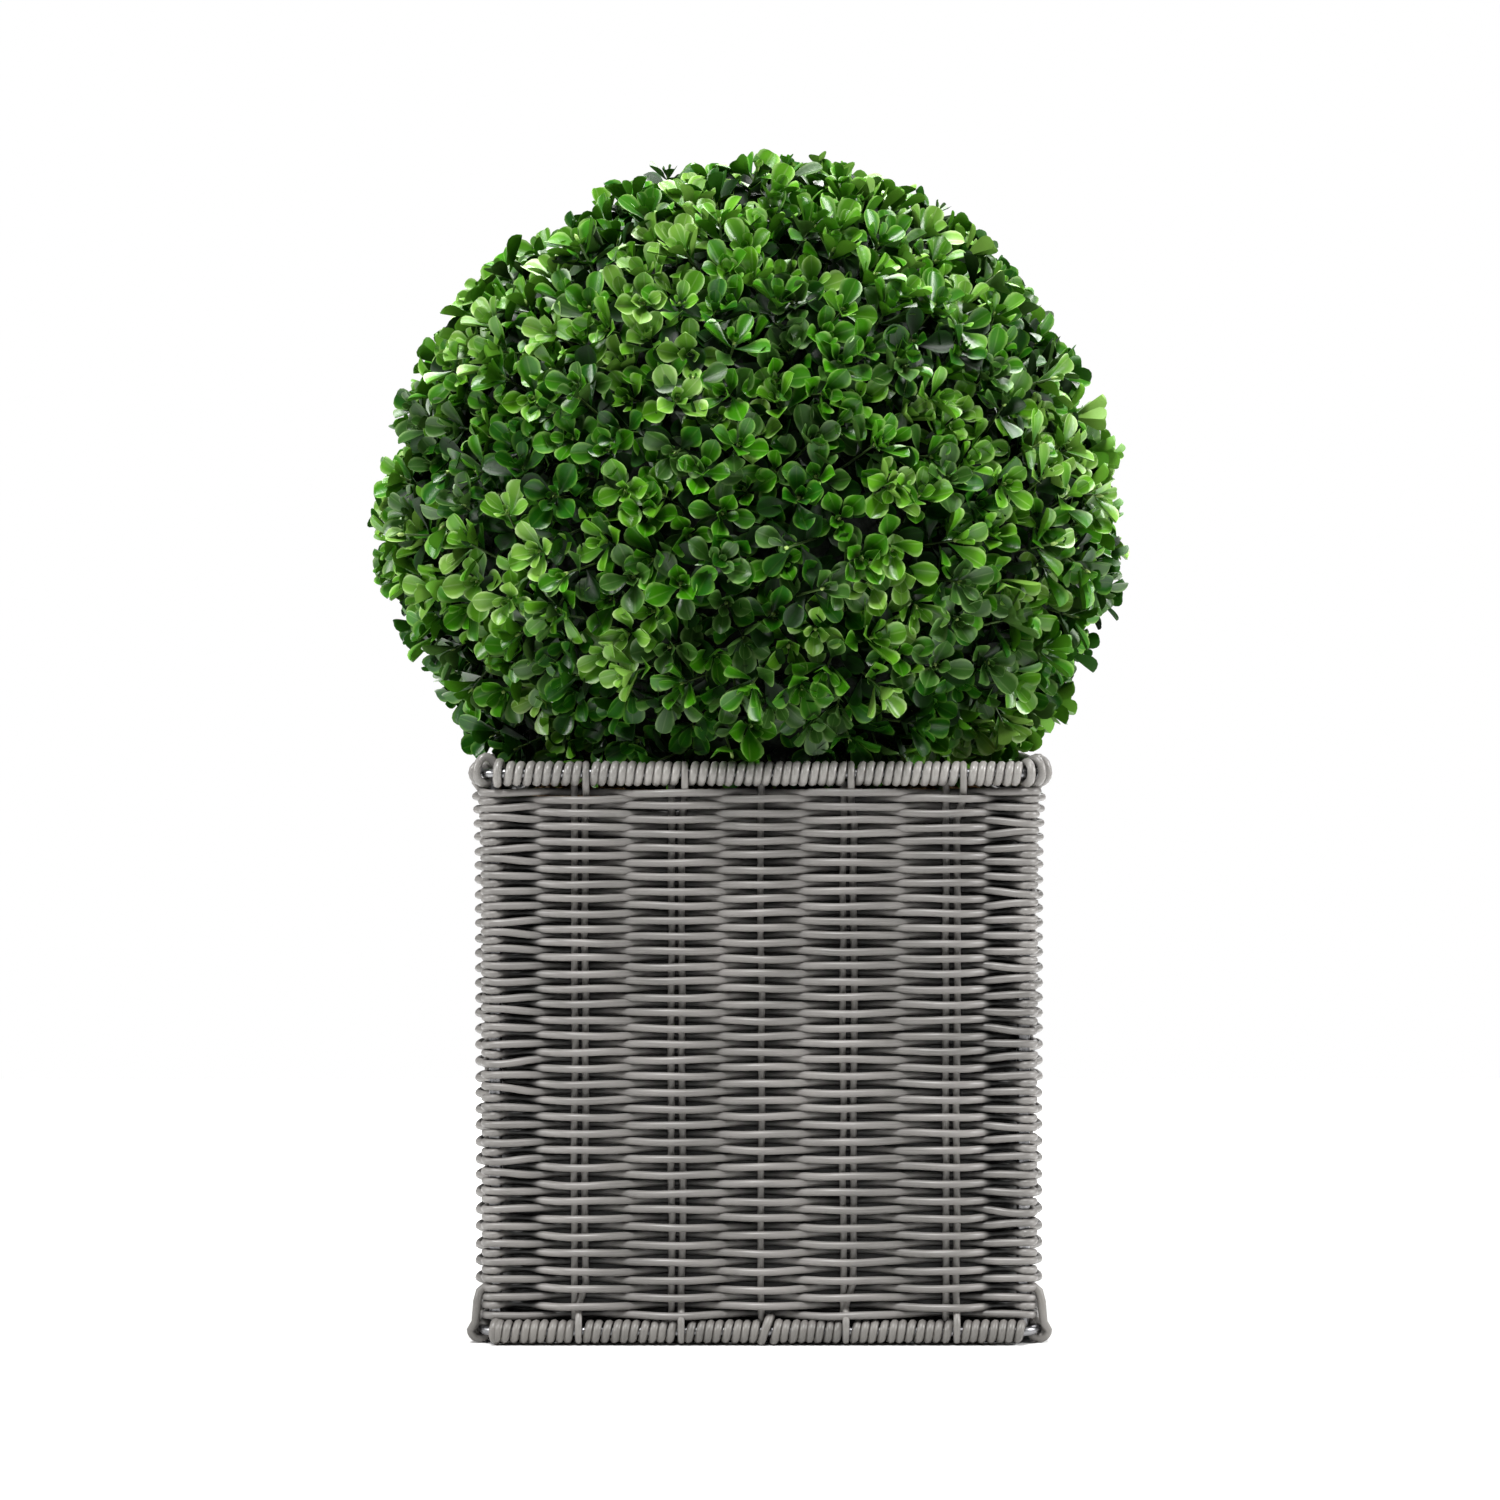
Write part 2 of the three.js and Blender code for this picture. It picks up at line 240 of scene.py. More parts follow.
class Nodes:
    """A node material while it is wired up.

    Attributes:
        MOST: The heights between which nearly all of a noise lies.
        MIDDLING: The heights between which its middle part lies.
        MIX_COLOURS: The sockets where a Mix node takes its two colours.
        MIX_RESULT: The socket where it gives their mixture.
        SOFT_CORNER: The distance over which two sides of the wall pass into each other at a corner.
    """

    MOST = (0.3, 0.7)
    MIDDLING = (0.35, 0.65)
    MIX_COLOURS = (6, 7)
    MIX_RESULT = 2
    SOFT_CORNER = 30 * MM

    def __init__(self, name: str) -> None:
        """Starts a material that has only its shader and output.

        Args:
            name: The material's name.
        """
        self.material = bpy.data.materials.new(name)
        self.material.use_nodes = True
        self.tree = self.material.node_tree
        self.tree.nodes.clear()
        self.shader = self.add("ShaderNodeBsdfPrincipled")
        output = self.add("ShaderNodeOutputMaterial")
        self.link(self.shader.outputs["BSDF"], output.inputs["Surface"])
        self.place = self.add("ShaderNodeTexCoord").outputs["Object"]

    def add(self, kind: str, **values: object) -> bpy.types.Node:
        """Adds a node and sets its properties.

        Args:
            kind: Blender's name for the node's type.
            **values: Properties of the node itself.

        Returns:
            The new node.
        """
        node = self.tree.nodes.new(kind)
        for name, value in values.items():
            setattr(node, name, value)
        return node

    def link(self, output: bpy.types.NodeSocket, into: bpy.types.NodeSocket) -> None:
        """Joins two sockets."""
        self.tree.links.new(output, into)

    def noise(
        self, scale: float, stretch: Sequence[float] = (1, 1, 1), detail: float = 2.0
    ) -> bpy.types.NodeSocket:
        """Adds noise on the object's own coordinates.

        Args:
            scale: Lumps in a metre.
            stretch: How much finer it is along each axis.
            detail: How many finer layers it has.

        Returns:
            The noise's height, from 0 to 1.
        """
        mapping = self.add("ShaderNodeMapping")
        mapping.inputs["Scale"].default_value = stretch
        self.link(self.place, mapping.inputs["Vector"])
        texture = self.add("ShaderNodeTexNoise")
        texture.inputs["Scale"].default_value = scale
        texture.inputs["Detail"].default_value = detail
        self.link(mapping.outputs["Vector"], texture.inputs["Vector"])
        return texture.outputs["Fac"]

    def spread(self, value: bpy.types.NodeSocket, *ends: float) -> bpy.types.NodeSocket:
        """Maps a value smoothly from one range to another.

        Args:
            value: What is mapped.
            *ends: The lowest and highest value that go in, and those that come out.

        Returns:
            The mapped value.
        """
        node = self.add("ShaderNodeMapRange", interpolation_type="SMOOTHSTEP")
        for socket, end in zip(("From Min", "From Max", "To Min", "To Max"), ends):
            node.inputs[socket].default_value = end
        self.link(value, node.inputs["Value"])
        return node.outputs["Result"]

    def blend(
        self, factor: bpy.types.NodeSocket, first: Colour | bpy.types.NodeSocket, second: Colour
    ) -> bpy.types.NodeSocket:
        """Mixes two colours.

        Args:
            factor: How much of the second colour there is.
            first: A colour of 0 to 255, or the socket that it comes from.
            second: A colour of 0 to 255.

        Returns:
            The mixed colour.
        """
        node = self.add("ShaderNodeMix", data_type="RGBA")
        self.link(factor, node.inputs["Factor"])
        lower, upper = [node.inputs[number] for number in self.MIX_COLOURS]
        if isinstance(first, bpy.types.NodeSocket):
            self.link(first, lower)
        else:
            lower.default_value = linear(first)
        upper.default_value = linear(second)
        return node.outputs[self.MIX_RESULT]

    def bump(self, height: bpy.types.NodeSocket, depth: float, strength: float = 1.0) -> None:
        """Roughens the surface.

        Args:
            height: The height of the relief, from 0 to 1.
            depth: How far its lowest places lie below its highest, in metres.
            strength: How much of that shows.
        """
        node = self.add("ShaderNodeBump")
        node.inputs["Distance"].default_value = depth
        node.inputs["Strength"].default_value = strength
        self.link(height, node.inputs["Height"])
        self.link(node.outputs["Normal"], self.shader.inputs["Normal"])

    def wall_shade_mask(self, wall: tuple[float, float]) -> bpy.types.NodeSocket:
        """Tells how deep a point lies in the planter's wall, whichever of its sides that is.

        Args:
            wall: How far from the planter's middle the painted shade on woven strand is full, and where it
                ends.

        Returns:
            1 deep inside the wall, where the painted shade is full, 0 on the outside.
        """
        sideways = self.add("ShaderNodeVectorMath", operation="ABSOLUTE")
        parts = self.add("ShaderNodeSeparateXYZ")
        further = self.add("ShaderNodeMath", operation="SMOOTH_MAX")
        further.inputs[2].default_value = self.SOFT_CORNER
        self.link(self.place, sideways.inputs[0])
        self.link(sideways.outputs["Vector"], parts.inputs["Vector"])
        self.link(parts.outputs["X"], further.inputs[0])
        self.link(parts.outputs["Y"], further.inputs[1])
        return self.spread(further.outputs["Value"], *wall, 1.0, 0.0)

    def dress(self, **values: float | bpy.types.NodeSocket) -> bpy.types.Material:
        """Sets the shader's own sockets, or links what varies over the surface to them.

        Args:
            **values: What each socket gets, with _ for a space in its name.

        Returns:
            The material, which is ready.
        """
        for name, value in values.items():
            socket = self.shader.inputs[name.replace("_", " ")]
            if isinstance(value, bpy.types.NodeSocket):
                self.link(value, socket)
            else:
                socket.default_value = value
        return self.material


@dataclass(frozen=True)
class SpeckledFinish:
    """A finish of two near colours in soft patches, with a fine grain.

    Attributes:
        name: The material's name.
        dark: The darker colour.
        light: The lighter colour.
        patches: Patches in a metre.
        grain: Grains in a metre.
        grain_depth: The grain's depth.
        shine: The lowest and the highest roughness.
        stretch: How much finer the grain is along each axis.
        metallic: 1 for bare metal.
        wall: For strand woven into the wall, where its painted shade is full on the wall's inside, and where
            it ends outside.
        inner: The near-black colour of the painted shade on such strand on the wall's inside.
        speck: How much of the lighter colour the highest grains have.
    """

    name: str
    dark: Colour
    light: Colour
    patches: float
    grain: float
    grain_depth: float
    shine: tuple[float, float]
    stretch: tuple[float, float, float] = (1, 1, 1)
    metallic: float = 0.0
    wall: tuple[float, float] | None = None
    # Near black: the colour of the painted shade deep in the wall.
    inner: Colour = (16, 16, 15)
    speck: float = 0.35

    def material(self) -> bpy.types.Material:
        """Wires up the material.

        Returns:
            The material, which reads the piece's object coordinates.
        """
        nodes = Nodes(self.name)
        patches = nodes.spread(nodes.noise(self.patches, detail=3), *nodes.MOST, 0.0, 1.0)
        grain = nodes.noise(self.grain, self.stretch, detail=4)
        colour = nodes.blend(patches, self.dark, self.light)
        colour = nodes.blend(nodes.spread(grain, *nodes.MIDDLING, 0.0, self.speck), colour, self.light)
        # Painted shade: strand that lies deep in the wall's recesses darkens towards the inner colour.
        if self.wall:
            colour = nodes.blend(nodes.wall_shade_mask(self.wall), colour, self.inner)
        nodes.bump(grain, self.grain_depth)
        roughness = nodes.spread(grain, *nodes.MOST, *self.shine)
        return nodes.dress(Base_Color=colour, Roughness=roughness, Metallic=self.metallic)


@dataclass(frozen=True)
class LeafFinish:
    """Moulded leaf plastic: painted shade towards the root, a paler margin, and a faint midrib.

    Attributes:
        name: The material's name.
        blade: The blade's colour.
        margin: The margin's colour, partly the leaf's own paler edge and partly a painted rim highlight.
        root: The darker colour towards the leaf's root, where it is painted shade; the mottles take it too.
        roughness: How dull it is.
        gloss: How strongly it reflects, with 0.5 for plain plastic.
        MARGIN: From where to where across the leaf its margin's colour rises, and from and to what share.
        MIDRIB: The same for the midrib.
        ROOT: The same along the leaf, for the painted shade of its root's colour.
        MOTTLE: Mottles in a metre, and the highest share of the root's colour in them.
        GRAIN: Grains in a metre, their depth and how much of it shows.
    """

    name: str
    blade: Colour
    margin: Colour
    root: Colour
    roughness: float
    gloss: float = 0.33
    MARGIN: ClassVar = (0.62, 1.0, 0.0, 0.95)
    MIDRIB: ClassVar = (0.02, 0.12, 0.35, 0.0)
    ROOT: ClassVar = (0.15, 0.9, 0.85, 0.0)
    MOTTLE: ClassVar = (55, 0.45)
    GRAIN: ClassVar = (700, 0.12 * MM, 0.6)

    def material(self) -> bpy.types.Material:
        """Wires up the material.

        Returns:
            The material, which takes the way across and along a leaf from the leaf's own map.
        """
        nodes = Nodes(self.name)
        parts = nodes.add("ShaderNodeSeparateXYZ")
        leaf_map = nodes.add("ShaderNodeUVMap", uv_map="leaf")
        nodes.link(leaf_map.outputs["UV"], parts.inputs["Vector"])
        across, along = parts.outputs["X"], parts.outputs["Y"]
        # The paler margin is partly the leaf's own edge colour and partly a painted rim highlight.
        colour = nodes.blend(nodes.spread(across, *self.MARGIN), self.blade, self.margin)
        colour = nodes.blend(nodes.spread(across, *self.MIDRIB), colour, self.margin)
        # Painted shade: the leaf darkens towards its root, in the hollow of the sprig.
        colour = nodes.blend(nodes.spread(along, *self.ROOT), colour, self.root)
        mottles, most = self.MOTTLE
        mottle = nodes.spread(nodes.noise(mottles), *nodes.MIDDLING, 0.0, most)
        colour = nodes.blend(mottle, colour, self.root)
        grains, depth, strength = self.GRAIN
        nodes.bump(nodes.noise(grains, detail=3), depth, strength)
        return nodes.dress(Base_Color=colour, Roughness=self.roughness, Specular_IOR_Level=self.gloss)


# Where the painted shade on woven strand is full and where it ends, measured from the planter's middle.
WALL_PAINTED_SHADE = (132.8 * MM, 136.9 * MM)
STRAND = SpeckledFinish("rattan_strand", (108, 106, 103), (142, 139, 135), 22, 1300, 0.05 * MM, (0.27, 0.38))
STAKE_STRAND = SpeckledFinish(
    "rattan_stake", (94, 92, 89), (122, 119, 115), 22, 1300, 0.08 * MM, (0.38, 0.52), wall=WALL_PAINTED_SHADE
)
COURSE_STRAND = SpeckledFinish(
    "rattan_course", (93, 91, 88), (117, 114, 111), 22, 60, 0.09 * MM, (0.36, 0.48), (1, 1, 26), wall=WALL_PAINTED_SHADE
)
# A darker copy of the rim strand, used for the bottom rim: painted shade.
BOTTOM_RIM_SHADED_STRAND = SpeckledFinish("rattan_base_shaded", (84, 82, 79), (110, 107, 103), 22, 1300, 0.05 * MM, (0.36, 0.48))
STEEL = SpeckledFinish(
    "steel_rod", (104, 104, 106), (136, 136, 138), 40, 900, 0.03 * MM, (0.26, 0.38), metallic=1.0
)
BLACK_PLASTIC = SpeckledFinish("liner_plastic", (13, 13, 13), (24, 24, 23), 12, 1800, 0.08 * MM, (0.45, 0.6))
COIR = SpeckledFinish("coir", (78, 55, 31), (150, 116, 70), 160, 900, 1.2 * MM, (0.85, 0.98))
BARK = SpeckledFinish("stem_bark", (58, 42, 28), (104, 82, 58), 90, 420, 1.5 * MM, (0.7, 0.9), (1, 1, 0.25))
# The core's near-black colour is painted shade deep among the sprigs.
SHADE_CORE = SpeckledFinish("ball_shade_core", (5, 14, 4), (10, 24, 7), 60, 500, 0.8 * MM, (0.85, 0.95))
TWIG = SpeckledFinish("twig_plastic", (40, 62, 24), (72, 98, 40), 90, 800, 0.2 * MM, (0.45, 0.6))
BUD = SpeckledFinish("bud_plastic", (120, 150, 70), (160, 186, 104), 120, 900, 0.1 * MM, (0.4, 0.5))
FLOOR = SpeckledFinish("floor", (222, 222, 221), (226, 226, 225), 2, 40, 0.1 * MM, (0.8, 0.9))
UNDERSIDE_GLOSS = 0.25
UNDERSIDE_DULLER = 0.15
# How dark the underside's painted shade at the root is, as a share of its colour.
UNDERSIDE_ROOT_SHADE = 0.85


class LeafTone(Enum):
    """The greens that the sprigs are moulded in, upper side and underside; the darkest is painted shade."""

    # The darkest tone is painted shade, given to the lowest leaves, deep in the ball.
    OLD = (LeafFinish("leaf_deepest_shade", (9, 42, 1), (26, 72, 6), (4, 24, 0), 0.42, 0.2), (12, 38, 2))
    DEEP = (LeafFinish("leaf_deep", (25, 84, 3), (88, 138, 48), (6, 40, 0), 0.28), (36, 86, 10))
    GREY = (LeafFinish("leaf_grey", (52, 92, 28), (112, 146, 82), (16, 50, 5), 0.32), (58, 90, 34))
    MIDDLE = (LeafFinish("leaf_middle", (57, 124, 7), (132, 180, 84), (10, 58, 0), 0.28), (62, 116, 16))
    FRESH = (LeafFinish("leaf_fresh", (89, 148, 27), (160, 200, 112), (25, 80, 0), 0.28), (88, 140, 36))
    BRIGHT = (LeafFinish("leaf_bright", (119, 164, 62), (184, 212, 142), (46, 108, 6), 0.3), (116, 158, 64))

    @property
    def upper(self) -> LeafFinish:
        """The finish of the upper side."""
        return self.value[0]

    @property
    def under(self) -> LeafFinish:
        """The finish of the underside.

        Returns:
            A duller finish with no pale margin, and painted shade towards the root.
        """
        name, colour = f"{self.upper.name}_under", self.value[1]
        root = tuple(int(c * UNDERSIDE_ROOT_SHADE) for c in colour)
        roughness = self.upper.roughness + UNDERSIDE_DULLER
        return LeafFinish(name, colour, colour, root, roughness, UNDERSIDE_GLOSS)


# ---------------------------------------------------------------- camera, light and floor


@dataclass(frozen=True)
class Softbox:
    """A square soft light.

    Attributes:
        name: Its name.
        place: Where it hangs.
        size: Its width.
        watts: Its power.
    """

    name: str
    place: tuple[float, float, float]
    size: float
    watts: float


@dataclass
class Studio:
    """A plain pale studio, and a camera a little above the planter's rim.

    Attributes:
        eye: Where the camera stands.
        pitch: How far it looks down, in degrees.
        lens: Its focal length, in millimetres.
        sensor: Its sensor's width, in millimetres.
        far: How far it sees.
        floor_size: The floor's half width.
        sky: How strongly the pale surroundings light the object.
        aim: What the lights are turned to.
        ceiling_place: Where the wide light from above comes from.
        ceiling_spread: How wide it is, in degrees.
        ceiling_strength: How strong it is.
        softboxes: The soft lights round the object.
    """

    eye: tuple[float, float, float] = (-0.0047, -2.545, 0.352)
    pitch: float = 1.358
    lens: float = 116.9
    sensor: float = 36.0
    far: float = 200.0
    floor_size: float = 1.3
    sky: float = 0.2
    aim: tuple[float, float, float] = (0.0, 0.0, 0.32)
    ceiling_place: tuple[float, float, float] = (-0.4, -1.4, 3.1)
    ceiling_spread: float = 18.0
    ceiling_strength: float = 3.7
    softboxes: tuple[Softbox, ...] = (
        Softbox("left", (-2.2, -0.8, 1.2), 0.8, 42),
        Softbox("right", (2.3, -0.5, 1.2), 0.8, 62),
        Softbox("back", (0.6, 1.6, 1.9), 1.6, 60),
        Softbox("top", (0.0, 0.2, 2.1), 0.8, 44),
    )

    def camera(self) -> None:
        """Makes the camera and gives it to the scene."""
        data = bpy.data.cameras.new("camera")
        data.lens = self.lens
        data.sensor_width = self.sensor
        data.clip_end = self.far
        camera = bpy.data.objects.new("camera", data)
        camera.location = self.eye
        camera.rotation_euler = (math.radians(90 - self.pitch), 0, 0)
        bpy.context.scene.collection.objects.link(camera)
        bpy.context.scene.camera = camera

    def hang(self, data: bpy.types.Light, place: Sequence[float]) -> None:
        """Hangs one light, turned to the middle of the object.

        Args:
            data: The light.
            place: Where it hangs.
        """
        lamp = bpy.data.objects.new(data.name, data)
        lamp.location = place
        towards = Vector(self.aim) - Vector(place)
        lamp.rotation_euler = towards.to_track_quat("-Z", "Y").to_euler()
        bpy.context.scene.collection.objects.link(lamp)

    def lights(self) -> None:
        """Hangs the wide light from above and the soft lights."""
        ceiling = bpy.data.lights.new("ceiling", "SUN")
        ceiling.energy = self.ceiling_strength
        ceiling.angle = math.radians(self.ceiling_spread)
        self.hang(ceiling, self.ceiling_place)
        for box in self.softboxes:
            light = bpy.data.lights.new(box.name, "AREA")
            light.size = box.size
            light.energy = box.watts
            self.hang(light, box.place)

    def surroundings(self) -> None:
        """Makes the surroundings white to look at, and a weak light."""
        world = bpy.data.worlds.new("studio")
        world.use_nodes = True
        tree = world.node_tree
        light = tree.nodes["Background"]
        light.inputs["Strength"].default_value = self.sky
        seen = tree.nodes.new("ShaderNodeBackground")
        mix = tree.nodes.new("ShaderNodeMixShader")
        path = tree.nodes.new("ShaderNodeLightPath")
        for background in (light, seen):
            background.inputs["Color"].default_value = (1, 1, 1, 1)
        tree.links.new(path.outputs["Is Camera Ray"], mix.inputs[0])
        tree.links.new(light.outputs[0], mix.inputs[1])
        tree.links.new(seen.outputs[0], mix.inputs[2])
        tree.links.new(mix.outputs[0], tree.nodes["World Output"].inputs["Surface"])
        bpy.context.scene.world = world

    def floor(self) -> None:
        """Lays the pale floor."""
        bm = bmesh.new()
        bmesh.ops.create_grid(bm, x_segments=4, y_segments=4, size=self.floor_size)
        floor = bpy.data.objects.new("floor", from_bmesh(bm, FLOOR.material()))
        bpy.context.scene.collection.objects.link(floor)

    def build(self) -> None:
        """Sets up the camera, the lights, the surroundings and the floor."""
        self.camera()
        self.lights()
        self.surroundings()
        bpy.context.scene.view_settings.view_transform = "Standard"
        self.floor()


# ---------------------------------------------------------------- planter


class Rim(IntEnum):
    """The planter's two rims."""

    BOTTOM = 0
    TOP = 1


@dataclass
class RodFrame:
    """The welded steel frame: a round hoop at each rim and four corner posts.

    Attributes:
        rod_radius: The hoops' radius.
        bend: The radius of a hoop's corner, to the rod's middle.
        post_radius: The posts' radius.
        post_line: How far out a post stands along each axis.
        line: How far out the hoops' straight stretches lie.
        heights: How high the bottom hoop and the top one lie.
    """

    rod_radius: float = 2.5 * MM
    bend: float = 12 * MM
    post_radius: float = 3.25 * MM
    post_line: float = 131 * MM
    line: float = field(init=False)
    heights: tuple[float, float] = field(init=False)

    def __post_init__(self) -> None:
        """Takes the hoops' places from the frame's windings."""
        low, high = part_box("rim_winding_bottom_front")
        top_low, top_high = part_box("rim_winding_top_front")
        self.line = -(low.y + high.y) / 2
        self.heights = ((low.z + high.z) / 2, (top_low.z + top_high.z) / 2)

    def along(self, places: np.ndarray) -> tuple[np.ndarray, np.ndarray]:
        """Points in plan on the hoop's line near the right-hand front corner.

        Args:
            places: Distances along the line from the middle of the corner's bend.

        Returns:
            The points, and the direction that is outwards at each.
        """
        angle = np.clip(places / self.bend + math.pi / 4, 0, math.pi / 2)
        past = places - (angle - math.pi / 4) * self.bend
        centre = self.line - self.bend
        zero = np.zeros_like(angle)
        out = np.column_stack([np.sin(angle), -np.cos(angle), zero])
        ahead = np.column_stack([np.cos(angle), np.sin(angle), zero])
        return out * self.bend + ahead * past[:, None] + [centre, -centre, 0], out

    def hoop(self, height: float) -> np.ndarray:
        """The closed line of one hoop, at a height."""
        bend = self.along(np.linspace(-1, 1, 9) * self.bend * math.pi / 4)[0] + [0, 0, height]
        return np.vstack([turned(bend, quarter) for quarter in range(4)])

    def build(self) -> None:
        """Makes the frame as one piece."""
        steel = STEEL.material()
        rods = Tubes(self.rod_radius, rings=4, closed=True).mesh(map(self.hoop, self.heights), steel)
        corners = [(x, y) for x in (-1, 1) for y in (-1, 1)]
        ends = np.array([[0, 0, height] for height in self.heights])
        paths = [ends + [x * self.post_line, y * self.post_line, 0] for x, y in corners]
        posts = Tubes(self.post_radius, rings=4).mesh(paths, steel)
        bm = bmesh.new()
        bm.from_mesh(rods)
        bm.from_mesh(posts)
        placed("steel_rods", from_bmesh(bm, steel), "steel", "steel_frame")


@dataclass
class Weave:
    """The woven wall: stakes, and courses that pass in front of one stake and behind the next.

    Attributes:
        rods: The steel frame that it is woven round.
        courses: How many courses there are.
        strand: The strand's radius.
        growth: How much further apart the lowest courses lie than the highest, as a share.
        swing: How far a course swings out and in at the stakes.
        step: The length of a course's straight facets.
        guide: Where the courses that pass behind the first stake are turned in, beside each corner.
        turned_in: How much further in they lie there, and half the length over which they do.
        hold: How far past a single stake and past a pair a course runs straight, in stake radii.
        flare: How far the highest course spreads outwards, and how far down that fades.
        skirt: How far below the frame's own lowest course the wall starts.
        corner_run: The distance over which a course is drawn aside at a corner.
        closing: How far the courses next to one that passes inside close the gap, from near to far.
        wobble: How unevenly a course lies.
        waves: The waves of that in one round, each with its share.
        pieces: How many pieces the courses are joined into.
        pair_gap: How far each strand of a pair stands from the pair's middle.
        over_rims: How far from its middle each pair's end passes over the bottom and the top rim.
        stake_radius: A stake strand's radius.
        upright: How far from each rim the upright part of a stake ends.
        drift: How far that part strays sideways.
        tucked: How far short of a rim, and how far in, a stake's hidden end lies.
        over_gap: How far off a rim's rod the middle of a stake's end passes.
        wrap: How far round the rim that end reaches, in radians.
        approach: How far below the rim it leaves the wall, with its share of the way out to the rim.
        inside: Where a course passes inside a post, and the radius of its bend there.
        inside_from: The lowest course that does so.
        inside_beats: How often courses do so, each as a count and the place in it.
        post_gap: How far a course that passes outside stays off the post.
    """

    rods: RodFrame
    courses: int = 67
    strand: float = 1.92 * MM
    growth: float = 0.14
    swing: float = 4.7 * MM
    step: float = 4.0 * MM
    guide: float = 122.5 * MM
    turned_in: tuple[float, float] = (2 * MM, 3 * MM)
    hold: tuple[float, float] = (0.5, 0.4)
    flare: tuple[float, float] = (1.7 * MM, 16 * MM)
    skirt: float = 1.3 * MM
    corner_run: float = 22 * MM
    closing: tuple[float, ...] = (0.85, 0.5, 0.28, 0.12)
    wobble: float = 0.45 * MM
    waves: tuple[tuple[int, float], ...] = ((3, 0.6), (7, 0.5), (16, 0.45), (31, 0.3))
    pieces: int = 3
    pair_gap: float = 2.6 * MM
    over_rims: tuple[tuple[float, ...], ...] = (
        (-0.6 * MM, 2.2 * MM, 0.0, -1.2 * MM, 2.7 * MM),
        (3.3 * MM, 4.1 * MM, 0.0, 1.2 * MM, 5.7 * MM),
    )
    stake_radius: float = 1.75 * MM
    upright: float = 24 * MM
    drift: float = 0.5 * MM
    tucked: tuple[float, float] = (4 * MM, 1 * MM)
    over_gap: float = 2.1 * MM
    wrap: float = 0.85 * math.pi
    approach: tuple[tuple[float, float], ...] = (
        (13 * MM, 0.0), (11 * MM, 0.25), (8 * MM, 0.62), (5.5 * MM, 0.9), (3 * MM, 1.0),
    )
    inside: tuple[float, float] = (121.4 * MM, 8 * MM)
    inside_from: int = 8
    inside_beats: tuple[tuple[int, int], ...] = ((5, 0), (17, 2))
    post_gap: float = 0.3 * MM

    def __post_init__(self) -> None:
        """Takes the wall's height and the stakes' places from the frame."""
        self.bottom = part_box("course_01")[0].z - self.skirt
        self.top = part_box("course_24")[1].z
        boxes = [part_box(f"stake_front_{i}") for i in range(1, 6)]
        self.stakes = [(low.x + high.x) / 2 for low, high in boxes]
        self.plane = -(boxes[0][0].y + boxes[0][1].y) / 2
        self.random = np.random.default_rng(5)
        self.outside = (self.rods.post_line, self.rods.post_radius + self.strand + self.post_gap)
        shares = np.linspace(-1, 1, self.courses)
        steps = 1 - self.growth * (shares[1:] + shares[:-1]) / 2
        steps *= (self.top - self.bottom - 2 * self.strand) / steps.sum()
        self.heights = self.bottom + self.strand + np.concatenate([[0], np.cumsum(steps)])

    def passes_inside(self, course: int, corner: int) -> bool:
        """Whether a course goes behind a corner post, as about one in eight does.

        Args:
            course: The course's number from the bottom.
            corner: The corner's number.

        Returns:
            True where it passes inside the post.
        """
        if course % 2 == 0 or not self.inside_from <= course < self.courses:
            return False
        number = (self.courses - course) // 2 + 2 * (corner % 4)
        return any(number % count == place for count, place in self.inside_beats)

    def reach(self, course: int, quarter: int) -> tuple[np.ndarray, np.ndarray]:
        """How far out a course lies along one side.

        Args:
            course: The course's number from the bottom.
            quarter: The side's number.

        Returns:
            Places along the side, and how far from the planter's middle the course lies there.
        """
        ends = [self.passes_inside(course, quarter), self.passes_inside(course, quarter + 1)]
        (left, left_bend), (right, right_bend) = [self.inside if end else self.outside for end in ends]
        single, pair = [share * self.stake_radius for share in self.hold]
        stations = [(-left, left + left_bend)]
        for i, stake in enumerate([-self.guide, *self.stakes, self.guide]):
            beside_corner = abs(stake) == self.guide
            outwards = (i + course) % 2 == 0
            if beside_corner and outwards:
                continue
            half = single if i - 1 == MIDDLE_STAKE else self.pair_gap + pair
            line = self.plane + (self.swing if outwards else -self.swing)
            if beside_corner:
                line, half = line - self.turned_in[0], self.turned_in[1]
            stations += [(stake - half, line), (stake + half, line)]
        stations.append((right, right + right_bend))
        stations = [s for i, s in enumerate(stations) if i == 0 or s[0] > stations[i - 1][0]]
        places, lines = np.array(stations).T
        x = np.linspace(places[0], places[-1], round((places[-1] - places[0]) / self.step))
        span = np.clip(np.searchsorted(places, x, side="right") - 1, 0, len(places) - 2)
        share = (x - places[span]) / (places[span + 1] - places[span])
        return x, lines[span] + (lines[span + 1] - lines[span]) * ease(share)

    def drawn_aside(self, course: int, x: np.ndarray, quarter: int) -> np.ndarray:
        """How far a course is drawn up or down at corners where its neighbour passes inside.

        Args:
            course: The course's number from the bottom.
            x: Places along the side.
            quarter: The side's number.

        Returns:
            The change in height at each place.
        """
        lift = np.zeros_like(x)
        for corner, end in ((quarter, -1), (quarter + 1, 1)):
            near = ease(1 - (self.rods.post_line - end * x) / self.corner_run)
            for away, share in enumerate(self.closing, 1):
                above = self.passes_inside(course + away, corner)
                below = self.passes_inside(course - away, corner)
                lift += (float(above) - float(below)) * share * self.strand * near
        return lift

